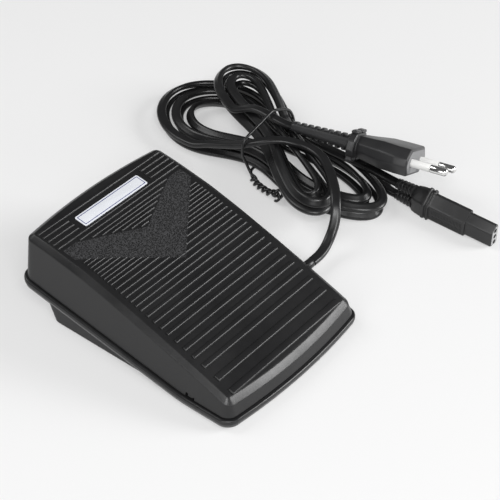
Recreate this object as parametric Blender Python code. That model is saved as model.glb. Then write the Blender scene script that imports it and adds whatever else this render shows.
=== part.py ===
"""Foot pedal of a sewing machine with its two cords, mains plug and machine connector.

All sizes below are in millimetres, and MM turns them into metres when a mesh is made.
X is across the pedal, Y runs along it from the low heel end to the high toe end, and Z is
up. The origin is on the floor under the middle of the pedal.
"""

import math

import bmesh
import bpy
import numpy as np
from mathutils import Matrix, Vector

MM = 0.001
CLEAR = 0.3            # gap between pieces that touch

# Plan of the pedal
HALF_WIDTH = 47.5      # half of the rim frame's width
HALF_LENGTH = 65.0     # half of its length, at the middle of the bowed ends
END_BOW = 2.6          # how far the ends bow out
CORNER = 7.0           # plan radius of the corners
STATION_STEP = 9.0     # spacing of the points along the sides

# Side view of the pedal
PIVOT_Y = -HALF_LENGTH + 31.0
PIVOT_Z = 7.6
PART_LINE_Z = 5.7      # height of the parting line at the heel
PART_SLOPE = 0.168     # its rise per length, behind the pivot
TOP_SHARES = (-66, -57, -49, -38, -15, 8, 25, 45, 66)   # knots along Y, in parts of 65 of the
TOP_Y = tuple(HALF_LENGTH / 65 * share for share in TOP_SHARES)                # half length
TOP_Z = (9.9, 14.0, 17.0, 20.8, 28.4, 35.4, 39.9, 43.5, 46.2)

# Cover and rim frame
COVER_INSET = 1.2      # step of the cover inside the rim frame
COVER_WALL = 1.7
CEILING = 2.3
BEVEL_DEPTH = 1.8
RIM_HEIGHT = 4.1
RIM_GAP = 0.6          # running gap between the tub and the rim frame

# Ribs of the tread
RIB_HEIGHT = 0.75
RIB_HALF = HALF_WIDTH - 9.0
RIB_SHARE = 0.45       # width of a rib as a share of its pitch
RIB_START = -HALF_LENGTH + 8.3
RIB_PITCHES = ((7.9, 2), (5.9, 1), (4.9, 3), (3.87, 4), (2.9, 6), (2.0, 12), (2.5, 2), (3.0, 4))
VEE_OUTER = (6.4, 1.29)     # start of the outer edge of the vee along Y, and its slope
VEE_INNER = (25.3, 2.15)    # the same for its inner edge
VEE_END = 40.0

# Label plate
LABEL_SIZE = (42.0, 7.4, 0.8)
LABEL_Y = HALF_LENGTH - 17.8
LABEL_PROUD = 0.3

# Base tub
TUB_WALL = 1.8
TUB_FLOOR = 2.0
TUB_BOTTOM = 0.8
TUB_FRONT = -HALF_LENGTH + 8.5
TUB_BOW = 0.8
TUB_REAR_LOW = HALF_LENGTH - 18.1
TUB_REAR = HALF_LENGTH - 12.2
TUB_LIP = 2.5          # how far the tub's walls rise inside the cover
FOOT_RADIUS = 5.0
FOOT_HEIGHT = 1.5
FOOT_X = HALF_WIDTH - 12.5
FEET = tuple((x, y) for y in (-HALF_LENGTH + 17.0, HALF_LENGTH - 27.0) for x in (-FOOT_X, FOOT_X))

# Pivot
ROD_RADIUS = 2.0
LUG_X = HALF_WIDTH - 13.5
LUG_WIDTH = 5.0
LUG_RADIUS = 4.0

# Screws of the rim frame
RIM_SCREW_X = HALF_WIDTH - 17.5
RIM_SCREWS = tuple((x, y) for y in (-HALF_LENGTH + 5.2, HALF_LENGTH - 7.2)
                   for x in (-RIM_SCREW_X, RIM_SCREW_X))
BOSS_RADIUS = 2.6      # of the cover's bosses for these screws
SCREW_RADIUS = 1.3
SCREW_HEAD = 2.6

# Return springs
SPRING_X = HALF_WIDTH - 19.5
SPRING_Y = HALF_LENGTH - 28.5
SPRING_FOOT_Z = 12.0
SPRING_TOP_Z = 34.0
SPRING_RADIUS = 4.6
SPRING_WIRE = 0.7      # radius of the wire
SPRING_TURNS = 6
SPRING_STEPS = 9       # points in each turn
SPRING_SEATS = (6.6, 8.5)   # radius of the seats in the tub and in the cover

# Circuit board and what it carries
BOARD = (-32.0, 24.0, PIVOT_Y + 18.0, SPRING_Y - 8.5)
BOARD_Z = 7.0
BOARD_THICK = 1.6
BOARD_SCREWS = ((BOARD[0] + 4.0, BOARD[2] + 4.0), (BOARD[1] - 3.6, BOARD[3] - 3.2))
POT_Y = (BOARD[2] + BOARD[3]) / 2
POT_SIZE = (14.0, 14.0, 12.0)
CAPACITOR = ((-22.0, BOARD[3] - 10.0), (15.0, 9.0, 15.0))    # centre and size of each piece
CHOKE = ((15.6, BOARD[3] - 14.0), (3.8, 8.0, 8.0))           # centre, hole, radius, height
TRIAC = ((-20.0, BOARD[2] + 11.0), (10.0, 4.4, 9.0))
SINK = ((-20.0, BOARD[2] + 15.1), (18.0, 3.0, 15.0))
RESISTOR = ((-20.0, BOARD[2] + 4.0), (9.0, 6.0, 6.0))
TRIMMER = ((18.0, BOARD[2] + 12.0), (7.0, 7.0, 6.0))
PLUNGER_RADIUS = 2.5
PLUNGER_TOP = 29.0
TERMINAL_X = 8.5
TERMINAL_Y = BOARD[2] + 6.0
TERMINAL_SIZE = (10.0, 8.0, 10.0)
PAD_Y = HALF_LENGTH - 22.0
PAD_TOP = 30.2

# Lead through the right side
LEAD_Y = PIVOT_Y + 10.0
LEAD_Z = 6.6
SLEEVE_END_X = HALF_WIDTH + 12.5
LEAD_NOTCH = (4.5, 11.2)   # half width and top of the notch that clears the sleeve
SLEEVE_RADII = (2.9, 2.4)
SLEEVE_NECK = 2.4
SLEEVE_GROOVES = 3
CLAMP_X = (HALF_WIDTH - 25.5, HALF_WIDTH - 17.5)
CLAMP_SCREW_Y = 5.4    # distance of its screws from the lead

# Cords: routes are points in a frame where the lead's sleeve ends at ROUTES_START, and a
# hank's loops follow a rule
ROUTES_START = (60.0, -24.0)
CORD_RADIUS = 2.1
LOOP_POINTS = 24
LANE = 5.35            # sideways step from one loop of a hank to the next, at its waist
LANE_OPEN = 5.8        # the same where the loops spread
END_STEP = 8.5         # step of the loops' round ends
WAIST_REACH = 26.0     # how far along a hank the tie draws it in
END_FLARE = 0.12       # how far, in lanes, a hank's two ends stand out from the loops
END_CROWD = 0.15       # how much closer the points of a loop stand in its round ends
FREE_ROUTE = ((70.0, -23.4, 6.4), (77.5, -21.8, 9.4), (83.0, -20.6, 16.0), (87.0, -17.6, 21.6),
              (93.5, -12.0, 24.2), (102.8, -2.3, 24.2), (110.4, 7.4, 23.8), (113.4, 16.0, 23.6),
              (112.6, 26.0, 23.6), (107.4, 35.0, 24.2), (102.2, 43.0, 21.8), (99.6, 52.0, 17.2),
              (98.6, 62.0, 13.2), (97.4, 73.0, 9.4))
PEDAL_TAIL_ROUTE = ((138.3, 24.0, 3.4), (141.6, 13.0, 3.8), (143.0, 2.0, 4.0),
                    (138.8, -9.0, 3.9))
MAINS_TAIL_ROUTE = ((132.4, -15.0, 11.4), (131.6, -5.0, 12.6), (130.8, 6.0, 13.2),
                    (130.4, 20.0, 13.5), (131.4, 34.0, 14.0))
PLUG_END_ROUTE = ((121.0, 69.0, 22.6), (121.2, 58.0, 25.2))
PEDAL_HANK = dict(centre=(121.0, 45.0), along=(0.08, 0.997), half_length=75.0,
                  half_widths=(33.0, 21.0), waist=16.5, height=(7.15, 2.35), side=1,
                  phases=(-62.0, 4 * 360 + 94.0))
MAINS_HANK = dict(centre=(118.5, 43.0), along=(0.516, 0.857), half_length=67.0,
                  half_widths=(15.0, 12.8), waist=9.9, height=(13.3, 18.1), side=-1,
                  phases=(-76.0, 3 * 360 + 64.0))

# Connector for the machine, lying on its narrow side
CONNECTOR_X = 129.4
CONNECTOR_Y = (-80.0, -65.0, -44.0, -41.6, -33.4)   # nose, step, flange, housing, back
CONNECTOR_Z = 0.3
CONNECTOR_SIZE = (7.5, 13.0)
CONNECTOR_SLOPE = 5.4
BOOT_LENGTH = 10.0
BOOT_RADIUS = 3.0
BOOT_Z = (3.8, 10.6)
BOOT_X = 132.9

# Mains plug
PLUG_FACE = (138.0, -28.8, 24.0)
PLUG_AXIS = (0.250, -0.967, -0.010)
PLUG_SIDE = (-0.845, -0.205, 0.494)
PLUG_WIDTH = 35.3
PLUG_THICK = 13.7
PLUG_LENGTH = 34.0
PIN_RADIUS = 2.0
PIN_LENGTH = 19.0
PIN_SLEEVE = 10.0
PIN_REACH = 9.0        # half the spacing of the two pins
PLUG_BOOT = 32.0
BOOT_RIBS = 8

# Twist tie
TIE_RADIUS = 0.55
TIE_Y = 48.0
TIE_STEPS = 7          # points in each turn of its twisted ends


def clear_scene():
    """Take every object out of the scene."""
    for item in list(bpy.data.objects):
        bpy.data.objects.remove(item, do_unlink=True)


def material(name, colour, roughness, metallic=0.0):
    """Make one plain surface material."""
    made = bpy.data.materials.new(name)
    made.use_nodes = True
    shader = made.node_tree.nodes["Principled BSDF"]
    shader.inputs["Base Color"].default_value = (*colour, 1.0)
    shader.inputs["Roughness"].default_value = roughness
    shader.inputs["Metallic"].default_value = metallic
    return made


# ---------------------------------------------------------------- mesh helpers

def part(name, shapes, surface, origin=(0.0, 0.0, 0.0), parent=None, angle=35.0):
    """Make an object from closed shapes, which are pairs of points and faces."""
    mesh = bpy.data.meshes.new(name)
    points, faces = [], []
    for shape_points, shape_faces in shapes:
        start = len(points)
        points += [tuple((np.array(p, float) - origin) * MM) for p in shape_points]
        faces += [[start + i for i in face] for face in shape_faces]
    mesh.from_pydata(points, [], faces)
    bm = bmesh.new()
    bm.from_mesh(mesh)
    bmesh.ops.recalc_face_normals(bm, faces=bm.faces)
    bm.to_mesh(mesh)
    bm.free()
    mesh.shade_smooth()
    mesh.set_sharp_from_angle(angle=math.radians(angle))
    item = bpy.data.objects.new(name, mesh)
    bpy.context.collection.objects.link(item)
    if surface is not None:
        mesh.materials.append(surface)
    place = Vector(origin) * MM
    if parent is not None:
        item.parent = parent
        place -= parent.location
    item.location = place
    return item


def combine(target, name, shapes, operation):
    """Join shapes to the target, or cut them out of it, with a hidden helper object."""
    helper = part(name, shapes, None)
    helper.hide_render = True
    helper.display_type = "WIRE"
    step = target.modifiers.new(name, "BOOLEAN")
    step.operation = operation
    step.solver = "EXACT"
    step.object = helper
    return helper


def placed(shape, matrix):
    """Move a shape with a 4 x 4 matrix."""
    points, faces = shape
    return [tuple(matrix @ Vector(p)) for p in points], faces


def box(x_range, y_range, z_range):
    """A box between three pairs of limits."""
    points = [(x, y, z) for z in z_range for y in y_range for x in x_range]
    faces = [(0, 2, 3, 1), (4, 5, 7, 6), (0, 1, 5, 4), (2, 6, 7, 3), (0, 4, 6, 2), (1, 3, 7, 5)]
    return points, faces


def block(centre, size):
    """A box from its centre and size."""
    return box(*[(c - s / 2, c + s / 2) for c, s in zip(centre, size)])


def rings_to_shape(rings, closed=False, caps=True):
    """Join equal rings of points into a skin; the end rings get one flat face each."""
    count = len(rings[0])
    points = [tuple(p) for ring in rings for p in ring]
    faces = []
    last = len(rings) if closed else len(rings) - 1
    for k in range(last):
        a, b = k * count, ((k + 1) % len(rings)) * count
        for i in range(count):
            j = (i + 1) % count
            faces.append((a + i, a + j, b + j, b + i))
    if caps and not closed:
        faces.append(tuple(reversed(range(count))))
        faces.append(tuple(range((len(rings) - 1) * count, len(rings) * count)))
    return points, faces


def turned(profile, segments=16, closed=False):
    """Turn a profile of (radius, height) about the Z axis."""
    angles = [2 * math.pi * i / segments for i in range(segments)]
    rings = [[(r * math.cos(a), r * math.sin(a), z) for a in angles] for r, z in profile]
    return rings_to_shape(rings, closed=closed)


def rod(start, end, radius, segments=16):
    """A plain round bar between two points."""
    axis = Vector(end) - Vector(start)
    return placed(turned([(radius, 0.0), (radius, axis.length)], segments), aim(start, axis))


def aim(origin, direction, side=(0.0, 0.0, 1.0)):
    """A matrix that stands local Z along a direction, with local Y near a side direction."""
    z = Vector(direction).normalized()
    y = Vector(side) - z * z.dot(Vector(side))
    if y.length < 1e-6:
        y = Vector((0.0, 1.0, 0.0)) - z * z.y
    y.normalize()
    x = y.cross(z)
    turn = Matrix((x, y, z)).transposed().to_4x4()
    return Matrix.Translation(Vector(origin)) @ turn


def rounded_rectangle(width, height, radius, steps=3):
    """Points of a rectangle with round corners, about its centre."""
    ring = []
    for k, (sx, sy) in enumerate(((1, 1), (-1, 1), (-1, -1), (1, -1))):
        cx, cy = sx * (width / 2 - radius), sy * (height / 2 - radius)
        for i in range(steps + 1):
            a = math.radians(90 * k + 90 * i / steps)
            ring.append((cx + radius * math.cos(a), cy + radius * math.sin(a)))
    return ring


def slab(sections, steps=3):
    """A body of rounded rectangles (width, height, radius, z) stacked along Z."""
    return rings_to_shape([[(x, y, z) for x, y in rounded_rectangle(w, h, r, steps)]
                           for w, h, r, z in sections])


# ---------------------------------------------------------------- pedal shapes

def top_z(y):
    """Height of the tread at y: straight runs between the knots, with rounded corners."""
    reach = 3.0
    return sum(np.interp(y + d, TOP_Y, TOP_Z) for d in (-reach, 0.0, reach)) / 3


def part_z(y):
    """Height of the parting line: level at the heel, rising behind the pivot."""
    u = y - PIVOT_Y
    return PART_LINE_Z + PART_SLOPE * 0.5 * (u + math.sqrt(u * u + 9.0))


def plan(inset, front=-HALF_LENGTH, rear=HALF_LENGTH, bow=END_BOW, half=HALF_WIDTH, corner=CORNER):
    """Ring of (x, y) round the pedal, mirrored about X = 0, drawn in by an inset."""
    w, f, r = half - inset, front + inset, rear - inset
    radius = max(corner - inset, 1.2)
    flat = w - radius
    right = [(flat * i / 6, f + bow * (i / 6) ** 2) for i in range(6)]
    for k, (cy, start) in enumerate(((f + bow + radius, -90), (r - bow - radius, 0))):
        if k:
            low = f + bow + radius
            stations = [s for s in side_stations() if low + 1 < s < cy - 1]
            pad = STATIONS - len(stations)
            step = (cy - low) / (STATIONS + 1)
            even = [low + step * (i + 1) for i in range(STATIONS)]
            right += [(w, y) for y in (even if pad else stations)]
        for i in range(5):
            a = math.radians(start + 90 * i / 4)
            right.append((flat + radius * math.cos(a), cy + radius * math.sin(a)))
    right += [(flat * i / 6, r - bow * (i / 6) ** 2) for i in range(5, -1, -1)]
    return right + [(-x, y) for x, y in reversed(right[1:-1])]


STATIONS = 12


def side_stations():
    """Places along the sides where every ring has a point."""
    return [STATION_STEP * (i - (STATIONS - 1) / 2) for i in range(STATIONS)]


def skin(levels, cap_first=True, cap_last=True):
    """A body of plan rings, capped by strips across X so that a curved end stays level."""
    rings = [[(x, y, height(y)) for x, y in ring] for ring, height in levels]
    points, faces = rings_to_shape(rings, caps=False)
    count = len(rings[0])
    half = count // 2
    for start, wanted in ((0, cap_first), ((len(rings) - 1) * count, cap_last)):
        if not wanted:
            continue
        faces.append((start, start + 1, start + count - 1))
        for i in range(1, half - 1):
            faces.append((start + i, start + i + 1, start + count - i - 1, start + count - i))
        faces.append((start + half - 1, start + half, start + half + 1))
    return points, faces


def below_top(depth):
    """Height function that many millimetres under the tread."""
    return lambda y: float(top_z(y)) - depth


def above_part(rise):
    """Height function that many millimetres over the parting line."""
    return lambda y: part_z(y) + rise


def rib_fronts():
    """Front edge and width of each rib, from the heel to the toe."""
    y = RIB_START
    for pitch, count in RIB_PITCHES:
        for _ in range(count):
            yield y, RIB_SHARE * pitch
            y += pitch


def rib_spans(y):
    """Where a rib at y runs across X: beside the plain vee, and beside the label plate."""
    outer = (y - VEE_OUTER[0]) * VEE_OUTER[1] + 5.0
    inner = (y - VEE_INNER[0]) * VEE_INNER[1]
    label_reach = LABEL_SIZE[1] / 2 + 1.2
    if abs(y + 0.7 - LABEL_Y) < label_reach:
        return [(LABEL_SIZE[0] / 2 + 3.0, RIB_HALF)]
    if y < VEE_OUTER[0] or y > VEE_END:
        return [(-RIB_HALF, RIB_HALF)]
    spans = []
    if outer < RIB_HALF - 3:
        spans.append((outer, RIB_HALF))
    if inner > 2:
        spans.append((-min(inner, RIB_HALF), min(inner, RIB_HALF)))
    return spans


def rib(y, width, x_range):
    """One rib: a steep front, a level crest and a sloping back."""
    x0, x1 = x_range
    foot = 0.6
    section = ((y, -foot), (y + 0.1, RIB_HEIGHT), (y + 0.7 * width, RIB_HEIGHT), (y + width, -foot))
    rings = [[(x, py, float(top_z(py)) + dz) for py, dz in section] for x in (x0, x1)]
    return rings_to_shape(rings)


def treadle_cover(pivot, surface):
    """The pressed top shell, with ribs, lugs for the pivot rod, bosses and spring cups."""
    outer = [(plan(COVER_INSET), above_part(CLEAR)), (plan(2.1), below_top(3.5)),
             (plan(2.5), below_top(BEVEL_DEPTH + 0.2)), (plan(4.5), below_top(BEVEL_DEPTH)),
             (plan(6.2), below_top(0.0))]
    inner_foot = COVER_INSET + COVER_WALL
    inner = [(plan(inner_foot), above_part(CLEAR)), (plan(inner_foot + 1.3), below_top(4.3)),
             (plan(inner_foot + 4.6), below_top(CEILING))]
    levels = list(reversed(outer)) + inner
    cover = part("treadle_cover", [skin(levels)], surface, origin=(0, PIVOT_Y, PIVOT_Z),
                 parent=pivot)
    ribs = []
    for y, width in rib_fronts():
        for low, high in rib_spans(y):
            ribs.append(rib(y, width, (low, high)))
            if low > 0:
                ribs.append(rib(y, width, (-high, -low)))
    combine(cover, "ribs_shape", ribs, "UNION")
    combine(cover, "cover_inside_shape", cover_inside(), "UNION")
    bores = [rod((x - LUG_WIDTH, PIVOT_Y, PIVOT_Z), (x + LUG_WIDTH, PIVOT_Y, PIVOT_Z),
                 ROD_RADIUS + CLEAR) for x in (-LUG_X, LUG_X)]
    for x, y in RIM_SCREWS:
        z = part_z(y)
        bores.append(rod((x, y, z - 2), (x, y, z + 3.6), SCREW_RADIUS + CLEAR, 16))
    bores.append(placed(block((0, 0, -LABEL_SIZE[2] / 2 + LABEL_PROUD + 1.9),
                              (LABEL_SIZE[0] + 2 * CLEAR, LABEL_SIZE[1] + 2 * CLEAR,
                               LABEL_SIZE[2] + 3.8)), label_frame()))
    bores.append(box((HALF_WIDTH - 8, HALF_WIDTH + 5), (LEAD_Y - LEAD_NOTCH[0], LEAD_Y + LEAD_NOTCH[0]),
                     (0.0, LEAD_NOTCH[1])))
    combine(cover, "cover_bores_shape", bores, "DIFFERENCE")
    return cover


def cover_inside():
    """What hangs under the ceiling: pivot lugs, screw bosses, spring seats and the presser."""
    shapes = []
    for side in (-1, 1):
        x = side * LUG_X
        ceiling = float(top_z(PIVOT_Y)) - CEILING + 0.9
        shapes.append(lug(x - LUG_WIDTH / 2, x + LUG_WIDTH / 2, ceiling))
        seat = float(top_z(SPRING_Y)) - 1.2
        centre = (side * SPRING_X, SPRING_Y)
        shapes.append(rod((*centre, SPRING_TOP_Z + CLEAR), (*centre, seat), SPRING_SEATS[1],
                          24))
    for x, y in RIM_SCREWS:
        shapes.append(rod((x, y, part_z(y) + CLEAR + 0.2), (x, y, float(top_z(y)) - 3.6),
                          BOSS_RADIUS, 12))
    shapes.append(rod((0, POT_Y + 2.0, PLUNGER_TOP + CLEAR),
                      (0, POT_Y + 2.0, float(top_z(POT_Y)) - 1.2), 6.0, 20))
    return shapes


def lug(x0, x1, ceiling):
    """A plate from the ceiling with a round lower end about the pivot."""
    section = [(PIVOT_Y + LUG_RADIUS + 1.5, ceiling), (PIVOT_Y - LUG_RADIUS, ceiling)]
    for i in range(9):
        a = math.radians(180 + 180 * i / 8)
        section.append((PIVOT_Y + LUG_RADIUS * math.cos(a), PIVOT_Z + LUG_RADIUS * math.sin(a)))
    return rings_to_shape([[(x, y, z) for y, z in section] for x in (x0, x1)])


def rim_frame(pivot, surface):
    """The band round the lower edge, with the opening that runs over the tub."""
    opening = dict(front=TUB_FRONT - RIM_GAP, rear=TUB_REAR + RIM_GAP + 0.4, bow=TUB_BOW,
                   half=tub_half() + RIM_GAP, corner=4.6)
    edge = 0.4
    levels = [(plan(edge), above_part(-RIM_HEIGHT)), (plan(0), above_part(edge - RIM_HEIGHT)),
              (plan(0), above_part(-edge)), (plan(edge), above_part(0.0)),
              (plan(0, **opening), above_part(0.0)), (plan(0, **opening), above_part(-RIM_HEIGHT))]
    rings = [[(x, y, height(y)) for x, y in ring] for ring, height in levels]
    frame = part("rim_frame", [rings_to_shape(rings, closed=True)], surface,
                 origin=(0, PIVOT_Y, PIVOT_Z), parent=pivot)
    cuts = [box((HALF_WIDTH - 8, HALF_WIDTH + 5), (LEAD_Y - LEAD_NOTCH[0], LEAD_Y + LEAD_NOTCH[0]),
                (-5.0, 15.0))]
    for x, y in RIM_SCREWS:
        low = part_z(y) - RIM_HEIGHT
        cuts.append(placed(turned([(SCREW_HEAD + CLEAR, -3.0), (SCREW_HEAD + CLEAR, 1.9),
                                   (SCREW_RADIUS + CLEAR, 1.9), (SCREW_RADIUS + CLEAR, 6.0)], 16),
                           Matrix.Translation((x, y, low))))
    combine(frame, "rim_cuts_shape", cuts, "DIFFERENCE")
    return frame


def tub_half():
    """Half of the tub's width, inside the rim frame's side bars."""
    return HALF_WIDTH - 4.0


def label_frame():
    """Where the label plate lies: the middle of its recess, tilted with the tread."""
    reach = LABEL_SIZE[1] / 2
    low, high = float(top_z(LABEL_Y - reach)), float(top_z(LABEL_Y + reach))
    tilt = math.atan2(high - low, 2 * reach)
    return Matrix.Translation((0, LABEL_Y, (low + high) / 2)) @ Matrix.Rotation(tilt, 4, "X")


def label_plate(pivot, surface):
    """The small plate on the tread, left plain."""
    wide, deep, thick = LABEL_SIZE
    top = LABEL_PROUD
    shape = slab([(wide, deep, 1.0, top - thick + CLEAR), (wide, deep, 1.0, top - 0.15),
                  (wide - 0.3, deep - 0.3, 1.0, top)])
    return part("label_plate", [placed(shape, label_frame())], surface,
                origin=(0, PIVOT_Y, PIVOT_Z), parent=pivot)


def screw_shape(radius, head, length, head_thick=1.2):
    """A screw along Z with its head at the bottom and a round recess in the head."""
    profile = [(0.9, 0.7), (0.9, 0.0), (head, 0.0), (head, head_thick), (radius, head_thick),
               (radius, length)]
    return turned(profile, 10)


def rim_screws(pivot, surface):
    """Four screws that hold the rim frame to the cover."""
    for i, (x, y) in enumerate(RIM_SCREWS):
        foot = part_z(y) - RIM_HEIGHT + 0.4
        shape = placed(screw_shape(SCREW_RADIUS, SCREW_HEAD, 7.0), Matrix.Translation((x, y, foot)))
        part(f"rim_screw_{i + 1}", [shape], surface, origin=(0, PIVOT_Y, PIVOT_Z), parent=pivot)


def base_tub(surface):
    """The standing tub: floor, walls, bearing blocks, posts, spring seats and stop hooks."""
    def wall(inset, share, rear, low):
        ring = plan(inset, front=TUB_FRONT, rear=rear, bow=TUB_BOW, half=tub_half(), corner=4.0)
        return ring, lambda y: low + share * (part_z(y) + TUB_LIP - low)
    floor_z = TUB_BOTTOM + TUB_FLOOR
    levels = [wall(0.6, 0.0, TUB_REAR_LOW, TUB_BOTTOM), wall(0, 0.04, TUB_REAR_LOW, TUB_BOTTOM),
              wall(0, 0.66, TUB_REAR, TUB_BOTTOM), wall(0, 1.0, TUB_REAR, TUB_BOTTOM),
              wall(TUB_WALL, 1.0, TUB_REAR, floor_z), wall(TUB_WALL, 0.66, TUB_REAR, floor_z),
              wall(TUB_WALL, 0.0, TUB_REAR_LOW, floor_z)]
    tub = part("base_tub", [skin(levels)], surface)
    combine(tub, "tub_inside_shape", tub_inside(floor_z), "UNION")
    inner = tub_half() - TUB_WALL
    cuts = [rod((side * (LUG_X + 2), PIVOT_Y, PIVOT_Z), (side * (inner - 0.05), PIVOT_Y, PIVOT_Z),
                ROD_RADIUS + CLEAR) for side in (-1, 1)]
    cuts.append(rod((inner - 1, LEAD_Y, LEAD_Z), (tub_half() + 1, LEAD_Y, LEAD_Z),
                    SLEEVE_NECK + CLEAR))
    for x, y in FEET:
        cuts.append(rod((x, y, 0), (x, y, FOOT_HEIGHT + CLEAR), FOOT_RADIUS + CLEAR, 24))
    for x, y in BOARD_SCREWS + clamp_screws():
        cuts.append(rod((x, y, 3.4), (x, y, 9.0), 1.2 + CLEAR, 10))
    combine(tub, "tub_cuts_shape", cuts, "DIFFERENCE")
    return tub


def clamp_screws():
    """Where the two screws of the cord clamp stand."""
    x = sum(CLAMP_X) / 2
    return ((x, LEAD_Y - CLAMP_SCREW_Y), (x, LEAD_Y + CLAMP_SCREW_Y))


def tub_inside(floor_z):
    """Bearing blocks, board posts, clamp posts, spring seats, pad post and stop hooks."""
    foot = floor_z - 0.6
    inner = tub_half() - TUB_WALL
    shapes = []
    for side in (-1, 1):
        near, far = side * (inner - 3.4), side * (inner + 0.6)
        shapes.append(box(sorted((near, far)), (PIVOT_Y - 4.5, PIVOT_Y + 4.5), (foot, 12.5)))
        shapes.append(rod((side * SPRING_X, SPRING_Y, foot),
                          (side * SPRING_X, SPRING_Y, SPRING_FOOT_Z - CLEAR), SPRING_SEATS[0], 24))
        top = part_z(TUB_REAR) + TUB_LIP
        hook_low = part_z(TUB_REAR + 3.4) + CLEAR
        shapes.append(box((side * 15 - 5, side * 15 + 5), (TUB_REAR - 1.2, TUB_REAR + 3.4),
                          (hook_low, top + 0.6)))
    for x, y in BOARD_SCREWS:
        shapes.append(rod((x, y, foot), (x, y, BOARD_Z - CLEAR), 3.2, 16))
    for x, y in clamp_screws():
        shapes.append(rod((x, y, foot), (x, y, clamp_z()[0]), 2.3, 12))
    shapes.append(rod((0, PAD_Y, foot), (0, PAD_Y, PAD_TOP - 2.3), 5.0, 20))
    return shapes


def clamp_z():
    """Lower and upper face of the cord clamp, seen beside the cord."""
    return LEAD_Z + 0.4, LEAD_Z + 2.6


def rubber_feet(surface):
    """Four round feet under the tub."""
    for i, (x, y) in enumerate(FEET):
        shape = turned([(FOOT_RADIUS - 0.5, 0.0), (FOOT_RADIUS, 0.5), (FOOT_RADIUS, FOOT_HEIGHT)], 24)
        part(f"rubber_foot_{i + 1}", [placed(shape, Matrix.Translation((x, y, 0)))], surface)


def pivot_rod(surface):
    """The steel rod that the cover swings on."""
    reach = tub_half() - TUB_WALL - CLEAR
    part("pivot_rod", [rod((-reach, PIVOT_Y, PIVOT_Z), (reach, PIVOT_Y, PIVOT_Z), ROD_RADIUS)],
         surface)


def return_springs(surface):
    """Two coil springs between the tub's seats and the cover, with closed end turns."""
    for name, side in (("left", -1), ("right", 1)):
        count = SPRING_TURNS * SPRING_STEPS
        low, high = SPRING_FOOT_Z + SPRING_WIRE, SPRING_TOP_Z - SPRING_WIRE
        end_turn = 2 * SPRING_WIRE + 0.5
        knots = (0.0, 1.0, SPRING_TURNS - 1.0, float(SPRING_TURNS))
        heights = (low, low + end_turn, high - end_turn, high)
        points = []
        for i in range(count + 1):
            turn = SPRING_TURNS * i / count
            a = 2 * math.pi * turn
            points.append((side * SPRING_X + SPRING_RADIUS * math.cos(a),
                           SPRING_Y + SPRING_RADIUS * math.sin(a),
                           float(np.interp(turn, knots, heights))))
        tube(f"return_spring_{name}", points, SPRING_WIRE, surface, 1)


# ---------------------------------------------------------------- electrics

def circuit_board(surface):
    """The board, with holes for its two screws."""
    x0, x1, y0, y1 = BOARD
    board = part("circuit_board", [box((x0, x1), (y0, y1), (BOARD_Z, BOARD_Z + BOARD_THICK))],
                 surface)
    holes = [rod((x, y, BOARD_Z - 2), (x, y, BOARD_Z + 4), 1.2 + CLEAR, 12) for x, y in BOARD_SCREWS]
    combine(board, "board_holes_shape", holes, "DIFFERENCE")


def electrics(surfaces):
    """The pieces that stand on the board."""
    deck = BOARD_Z + BOARD_THICK + CLEAR
    wide, deep, tall = POT_SIZE
    pot = part("speed_potentiometer", [block((0, POT_Y, deck + tall / 2), (wide, deep, tall))],
               surfaces["pot"])
    combine(pot, "pot_bore_shape", [rod((0, POT_Y, deck + 2), (0, POT_Y, deck + tall + 2),
                                        PLUNGER_RADIUS + CLEAR)], "DIFFERENCE")
    foot = deck + 8.0
    plunger = placed(turned([(PLUNGER_RADIUS, 0), (PLUNGER_RADIUS, PLUNGER_TOP - foot - 0.4),
                             (PLUNGER_RADIUS - 0.4, PLUNGER_TOP - foot)]),
                     Matrix.Translation((0, POT_Y, foot)))
    part("speed_plunger", [plunger], surfaces["white"], origin=(0, POT_Y, foot))
    blocks = (("film_capacitor", CAPACITOR, "capacitor"), ("triac", TRIAC, "black"),
              ("heat_sink", SINK, "metal"), ("power_resistor", RESISTOR, "ceramic"),
              ("trimmer", TRIMMER, "trimmer"),
              ("terminal_block", ((TERMINAL_X, TERMINAL_Y), TERMINAL_SIZE), "terminal"))
    for name, (centre, size), surface in blocks:
        part(name, [block((*centre, deck + size[2] / 2), size)], surfaces[surface])
    centre, (hole, radius, height) = CHOKE
    ring = turned([(hole, 0), (radius, 0), (radius, height), (hole, height)], 20, closed=True)
    part("choke_coil", [placed(ring, Matrix.Translation((*centre, deck)))], surfaces["copper"])
    for i, (x, y) in enumerate(BOARD_SCREWS):
        top = BOARD_Z + BOARD_THICK + CLEAR + 1.2
        shape = placed(screw_shape(1.2, 2.4, 6.0), Matrix.Translation((x, y, top))
                       @ Matrix.Rotation(math.pi, 4, "X"))
        part(f"board_screw_{i + 1}", [shape], surfaces["steel"])
    part("travel_stop_pad", [placed(turned([(4, 0), (4, 2.0)]),
                                    Matrix.Translation((0, PAD_Y, PAD_TOP - 2)))], surfaces["rubber"])


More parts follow.
